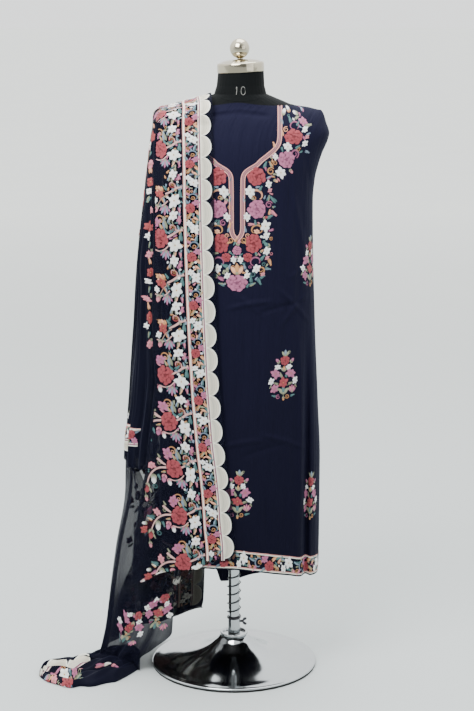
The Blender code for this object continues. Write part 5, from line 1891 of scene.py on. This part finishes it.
class MakeKameez(bpy.types.Operator):
    """Hang the kameez's front and back panels."""

    bl_idname = "suit.kameez"
    bl_label = "Kameez"

    def execute(self, context):
        for name, face, flat in (("kameez_front", -1, (0.52, 1.14)),
                                 ("kameez_back", 1, (0.54, 1.20))):
            panel = cloth_object(name + "_cloth", [kameez_cloth(face).points], (0, face, 0),
                                 finish("crepe"))
            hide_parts(name)
        return {"FINISHED"}


class MakeYoke(bpy.types.Operator):
    """Stitch the flowered yoke round the neckline and the placket."""

    bl_idname = "suit.yoke"
    bl_label = "Yoke"

    MIDDLE = 0.0075              # where the placket's tip is seen from the front
    TIP = 1.0784

    def execute(self, context):
        work = sewing()
        for side in (-1, 1):
            self.edge(work, side)
        for side in (-1, 1):
            rows = [(kind, x, y, size, side * turn, *rest)
                    for kind, x, y, size, turn, *rest in YOKE_SIDE]
            work.table(rows, functools.partial(self.where, side))
        work.table(YOKE_MIDDLE, functools.partial(self.where, 1))
        for seed, tries, sizes, snug in ((11, 1800, (0.013, 0.017), 0.0035),
                                         (12, 2600, (0.007, 0.011), 0.0040)):
            work.fill(((-0.17, 0.97), (0.19, 1.375)), self.inside, seed, tries,
                      ["teal", "teal", "sage", "gold", "blue", "mauve", "pink"], sizes, snug)
        work.sew("yoke_embroidery", kameez_cloth(-1), "navy_crepe")
        return {"FINISHED"}

    def where(self, side, x, y):
        """The flat place of one that is seen beside and above the placket's tip."""
        return kameez_cloth(-1).seen(self.MIDDLE + side * x, self.TIP + y, (50, 80))

    def inside(self, x, y):
        """Whether a place lies between the neckline's edge and the yoke's own."""
        off = abs(x - self.MIDDLE) / MM
        up = (y - self.TIP) / MM
        edge = np.array(YOKE_EDGE)[::-1]
        reach = np.array(YOKE_REACH)
        return (off < np.interp(up, reach[:, 0], reach[:, 1]) - 4 and up > -108
                and (up < -2 or off > np.interp(up, edge[:, 1], edge[:, 0]) + 8))

    def edge(self, work, side):
        """The neckline's stitched edge, in three strands."""
        for off, width, pair in ((-4.1, 2.7, ("salmon", "blush")), (0.0, 3.8, ("tan", "mauve")),
                                 (4.1, 2.7, ("salmon", "blush"))):
            line = np.array(YOKE_EDGE, dtype=float)
            reach = walked(line[None], 1)[0]
            at = np.linspace(0, reach[-1], 150)
            path = np.stack([np.interp(at, reach, line[:, k]) for k in (0, 1)], axis=-1)
            for _ in range(6):
                path[1:-1] = (path[:-2] + path[1:-1] * 2 + path[2:]) / 4
            ahead = unit(np.gradient(path, axis=0))
            path = path + stacked(-ahead[:, 1], ahead[:, 0]) * off
            path[:, 0] = np.maximum(path[:, 0], 0.4)
            places = [self.where(side, x * MM, y * MM) for x, y in path]
            work.ribbon(places, (width * MM,), pair, dome=0.0006)


class MakeButtis(bpy.types.Operator):
    """Stitch the scattered sprays of flowers on both panels of the kameez."""

    bl_idname = "suit.buttis"
    bl_label = "Kameez sprays"

    FRONT = ((0.1166, 0.7575, 1.0), (0.0085, 0.4690, 1.0), (0.1830, 0.4520, 0.8),
             (0.1790, 1.0220, 1.0))
    BACK = ((0.085, 0.760, 1.0), (0.000, 0.470, 1.0), (0.165, 0.470, 1.0),
            (0.165, 1.020, 1.0), (0.000, 1.020, 1.0))

    def execute(self, context):
        for name, face, places in (("front", -1, self.FRONT), ("back", 1, self.BACK)):
            cloth = kameez_cloth(face)
            work = sewing()
            for x, z, wide in places:
                with work.placed(cloth.seen(x, z, (140, 110)), 0.0, (wide, 1.0)):
                    work.table(BUTTI)
                    work.stem(((0, -22), (0, -44), (0, -57)), (1.8, 1.4), "sage")
                    for side in (-1, 1):
                        work.stem(((side * 28, -14), (side * 20, -20), (side * 8, -24)),
                                  (1.4, 1.2), "sage")
            work.sew("kameez_%s_sprays" % name, cloth, "navy_crepe")
        return {"FINISHED"}


class MakeHemBand(bpy.types.Operator):
    """Stitch the flowered band along the front panel's hem, and a row of stitches above the back's
    hem.
    """

    bl_idname = "suit.hem_band"
    bl_label = "Hem band"

    def execute(self, context):
        cloth = kameez_cloth(-1)
        work = sewing()
        across = np.linspace(-0.245, 0.245, 160)
        for line in (0.0050, 0.0455):
            for off, width, pair in ((0.0, 0.0024, ("cream", "white")),
                                     (0.0026, 0.0022, ("salmon", "blush"))):
                path = stacked(across, self.hem(cloth, across) + line + off)
                work.ribbon(path, (width,), pair, dome=0.0006)
        for k in range(-3, 3):
            rose = 0.0790 + 0.1110 * k
            tilt = math.radians(90) - (0.11 if rose > 0 else 0.0)
            with work.placed((rose, self.hem(cloth, rose) + 0.0250), tilt, (1.30, 1.0)):
                work.table(BAND)
        work.fill(((-0.24, 0.20), (0.24, 0.34)),
                  lambda x, y: 0.010 < y - self.hem(cloth, x) < 0.041, seed=5, tries=1700,
                  colours=FILL_TONES, sizes=(0.005, 0.010))
        work.sew("hem_band", cloth, "navy_crepe")
        self.back_hem()
        return {"FINISHED"}

    def hem(self, cloth, x):
        """The height of a panel's lower edge at a place across it."""
        edge = cloth.flat[-1]
        edge = edge if edge[0, 0] < edge[-1, 0] else edge[::-1]
        return np.interp(x, edge[:, 0], edge[:, 1])

    def back_hem(self):
        """A row of stitches above the back panel's hem."""
        cloth = kameez_cloth(1)
        ends = cloth.flat[-1, [-1, 0], 0]
        across = np.linspace(ends[0] + 0.004, ends[1] - 0.004, 180)
        dark = Embroidery({"thread": linear(44, 46, 80)})
        dark.ribbon(stacked(across, self.hem(cloth, across) + 0.014), (0.0012,),
                    ("thread", "thread"), dome=0.0003)
        dark.sew("kameez_back_hem", cloth, "navy_crepe")


class MakeDupatta(bpy.types.Operator):
    """Drape the dupatta: its outer stretch, side pleats, turned-up end and trailing stretch."""

    bl_idname = "suit.dupatta"
    bl_label = "Dupatta"

    def execute(self, context):
        lengths = dupatta_lengths()
        sheer = finish("georgette")
        drape = cloth_object("dupatta_drape", lengths, (0, -1, 0), sheer)
        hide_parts("dupatta_front", "dupatta_shoulder", "dupatta_back")
        pleats = cloth_object("dupatta_pleats", [pleats_cloth().points], (-1, 0, 0),
                              finish("gathered"))
        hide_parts("dupatta_side_pleats")
        end = turned_end_point(np.linspace(0, 1, 61)[None, :], np.linspace(0, 1, 31)[:, None])
        turned = cloth_object("dupatta_turned_up_end", [end], (0, -1, 0), sheer)
        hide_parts("dupatta_turned_end")
        tail = cloth_object("dupatta_trail", [tail_cloth().points], (0, 0, 1),
                            finish("gathered"))
        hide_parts("dupatta_tail")
        return {"FINISHED"}


class MakeDupattaBorder(bpy.types.Operator):
    """Stitch the dupatta's stripes, flowered band and scalloped edge."""

    bl_idname = "suit.dupatta_border"
    bl_label = "Dupatta border"

    def execute(self, context):
        work = sewing()
        work.edge_border(0.305, 3.02, BORDER_ROSE, BORDER_NOTCH, filler_seed=21)
        work.sew("dupatta_border", dupatta_cloth(), "sheer_navy")
        return {"FINISHED"}


class MakeDupattaVine(bpy.types.Operator):
    """Stitch the vine of roses beside the dupatta's band."""

    bl_idname = "suit.dupatta_vine"
    bl_label = "Dupatta vine"

    def execute(self, context):
        cloth = dupatta_cloth()
        work = sewing()
        front = [front_rose(k) for k in range(10)]
        front[0] += 0.018
        work.vine(front, hidden=(1, 3, 4), gathered=(0, 1, 2, 3, 4))
        with work.placed((VINE_EDGE, front[-1])):
            work.draw(VINE_LOWEST)
        work.sew("dupatta_vine_front", cloth, "sheer_navy")
        work = sewing()
        work.vine(behind_roses(1, 17), gathered=(0, 1))
        for across, row in ((-0.33, 1.86), (-0.42, 2.06), (-0.33, 2.26), (-0.44, 2.44)):
            with work.placed((across, row)):
                work.table(BUTTI)
        # two sprays that are seen below the front drop, turned with the cloth
        for x, z, turn in ((-0.2520, 0.1196, -0.45), (-0.1814, 0.168, -0.30)):
            def where(across, up, x=x, z=z, cos=math.cos(turn), sin=math.sin(turn)):
                return cloth.second.seen(x + 0.95 * across * cos - 0.78 * up * sin,
                                         z + 0.95 * across * sin + 0.78 * up * cos, (225, 93))
            work.table(BUTTI, where)
        work.sew("dupatta_vine_behind", cloth, "sheer_navy")
        self.reverse()
        return {"FINISHED"}

    def reverse(self):
        """The border's reverse, where the back drop's edge is turned towards the front. Its floss
        is darkened to 0.12 of its colour, partly as the dull reverse of the stitches and partly as
        painted shade, for the shadow it hangs in behind the suit.
        """
        cloth = turned_in_cloth()
        low, high = cloth.flat[0, 0, 1] + 0.03, cloth.flat[-1, 0, 1] - 0.004
        # the floss darkened to 0.12: partly the dull reverse of the stitches, partly painted shade
        # for the shadow it hangs in
        work = Embroidery({name: tuple(0.12 * tone for tone in colour)
                           for name, colour in threads().items()})
        work.edge_border(low, high, BORDER_ROSE, BORDER_NOTCH, filler_seed=31)
        work.vine(behind_roses(12, 16))
        work.sew("dupatta_border_reverse", cloth, "sheer_navy")
        work = sewing()
        with work.placed(cloth.seen(-0.146, 0.176, (30, 20))):
            work.petal(0.024, 0.030, "cream", root="body", full=0.8)
        work.sew("dupatta_scallop_reverse", cloth, "sheer_navy")


class MakeDupattaEnds(bpy.types.Operator):
    """Stitch the border where it shows on the pleats' end and on the trailing stretch."""

    bl_idname = "suit.dupatta_ends"
    bl_label = "Dupatta ends"

    def execute(self, context):
        self.pleats()
        self.tail()
        return {"FINISHED"}

    def pleats(self):
        """The border along the pleats' lower edge, its scallops down."""
        cloth = pleats_cloth()
        work = sewing()
        edge = cloth.flat[-1]
        with work.placed((0.0, edge[:, 1].max() - 0.004), -math.pi / 2):
            work.edge_border(0.006, self.front_reach(cloth, -0.231), first_rose=0.05,
                             first_notch=0.03, filler_seed=3)
        self.pleats_vine(cloth, work)
        work.sew("dupatta_pleats_border", cloth, "sheer_navy")

    def front_reach(self, cloth, x):
        """How far from the pleats' rear edge their cloth passes a place at the left."""
        row = 160                # a little above their lower edge
        return cloth.flat[row, np.nonzero(cloth.points[row, :, 0] < x)[0][-1], 0]

    def pleats_vine(self, cloth, work):
        """The vine's far flowers where they show on the pleats beside the front drop."""
        for k in range(5):
            for kind, x, up, *rest in VINE_FOLDED:
                z = front_rose(k) + up * MM
                with work.faced(cloth, FRONT_DROP("left", z) + x * MM, z, start=(80, 100),
                                widest=1.9):
                    work.draw(((kind, 0, 0, *rest),))

    def tail(self):
        """The border and two sprays on the trailing stretch."""
        cloth = tail_cloth()
        work = sewing()
        wide, long = 2.3, 1.1    # it lies spread out
        high = (cloth.flat[0, -1, 1] - 0.004) / long
        with work.placed((-0.043, 0.0), 0.0, (wide, long)):
            work.stripe(INNER_LINE, 0.100, high, work.INNER_STRIPE)
            for k in range(-1, 2):
                work.scallop(0.1837 + (k + 0.5) * work.SCALLOP, lift=0.0010, lines=1)
            with work.placed((-0.0590, 0.177)):
                work.draw(TRAIL_SPRAY)
            work.fill(((-0.0830, 0.125), (-0.0355, high)),
                      lambda x, y: x > BAND_SIDES[1] - 0.9 * (y - 0.120), seed=9, tries=700,
                      colours=FILL_TONES + ["pink"], sizes=(0.006, 0.011))
        work.draw(TRAIL_VINE)
        work.sew("dupatta_trail_embroidery", cloth, "sheer_navy")


PIECES = (MakeStage, MakeStand, MakeForm, MakeKameez, MakeYoke, MakeButtis, MakeHemBand,
          MakeDupatta, MakeDupattaBorder, MakeDupattaVine, MakeDupattaEnds)


class SuitPanel(bpy.types.Panel):
    """The suit's pieces and settings in the sidebar."""

    bl_idname = "VIEW3D_PT_suit"
    bl_label = "Salwar Kameez Suit"
    bl_space_type = "VIEW_3D"
    bl_region_type = "UI"
    bl_category = "Suit"

    def draw(self, context):
        scene = context.scene
        for piece in PIECES:
            self.layout.operator(piece.bl_idname)
        for group in (scene.suit_threads, scene.suit_finishes, scene.suit_studio):
            box = self.layout.box()
            for name in type(group).__annotations__:
                box.prop(group, name)


GROUPS = (SuitThreads, SuitFinishes, SuitStudio)
CLASSES = GROUPS + PIECES + (SuitPanel,)


def register():
    for made in CLASSES:
        bpy.utils.register_class(made)
    bpy.types.Scene.suit_threads = bpy.props.PointerProperty(type=SuitThreads)
    bpy.types.Scene.suit_finishes = bpy.props.PointerProperty(type=SuitFinishes)
    bpy.types.Scene.suit_studio = bpy.props.PointerProperty(type=SuitStudio)


def unregister():
    del bpy.types.Scene.suit_studio
    del bpy.types.Scene.suit_finishes
    del bpy.types.Scene.suit_threads
    for made in reversed(CLASSES):
        bpy.utils.unregister_class(made)


def main():
    """Builds everything in order."""
    register()
    for piece in PIECES:
        group, name = piece.bl_idname.split(".")
        getattr(getattr(bpy.ops, group), name)()


if __name__ == "__main__":
    main()
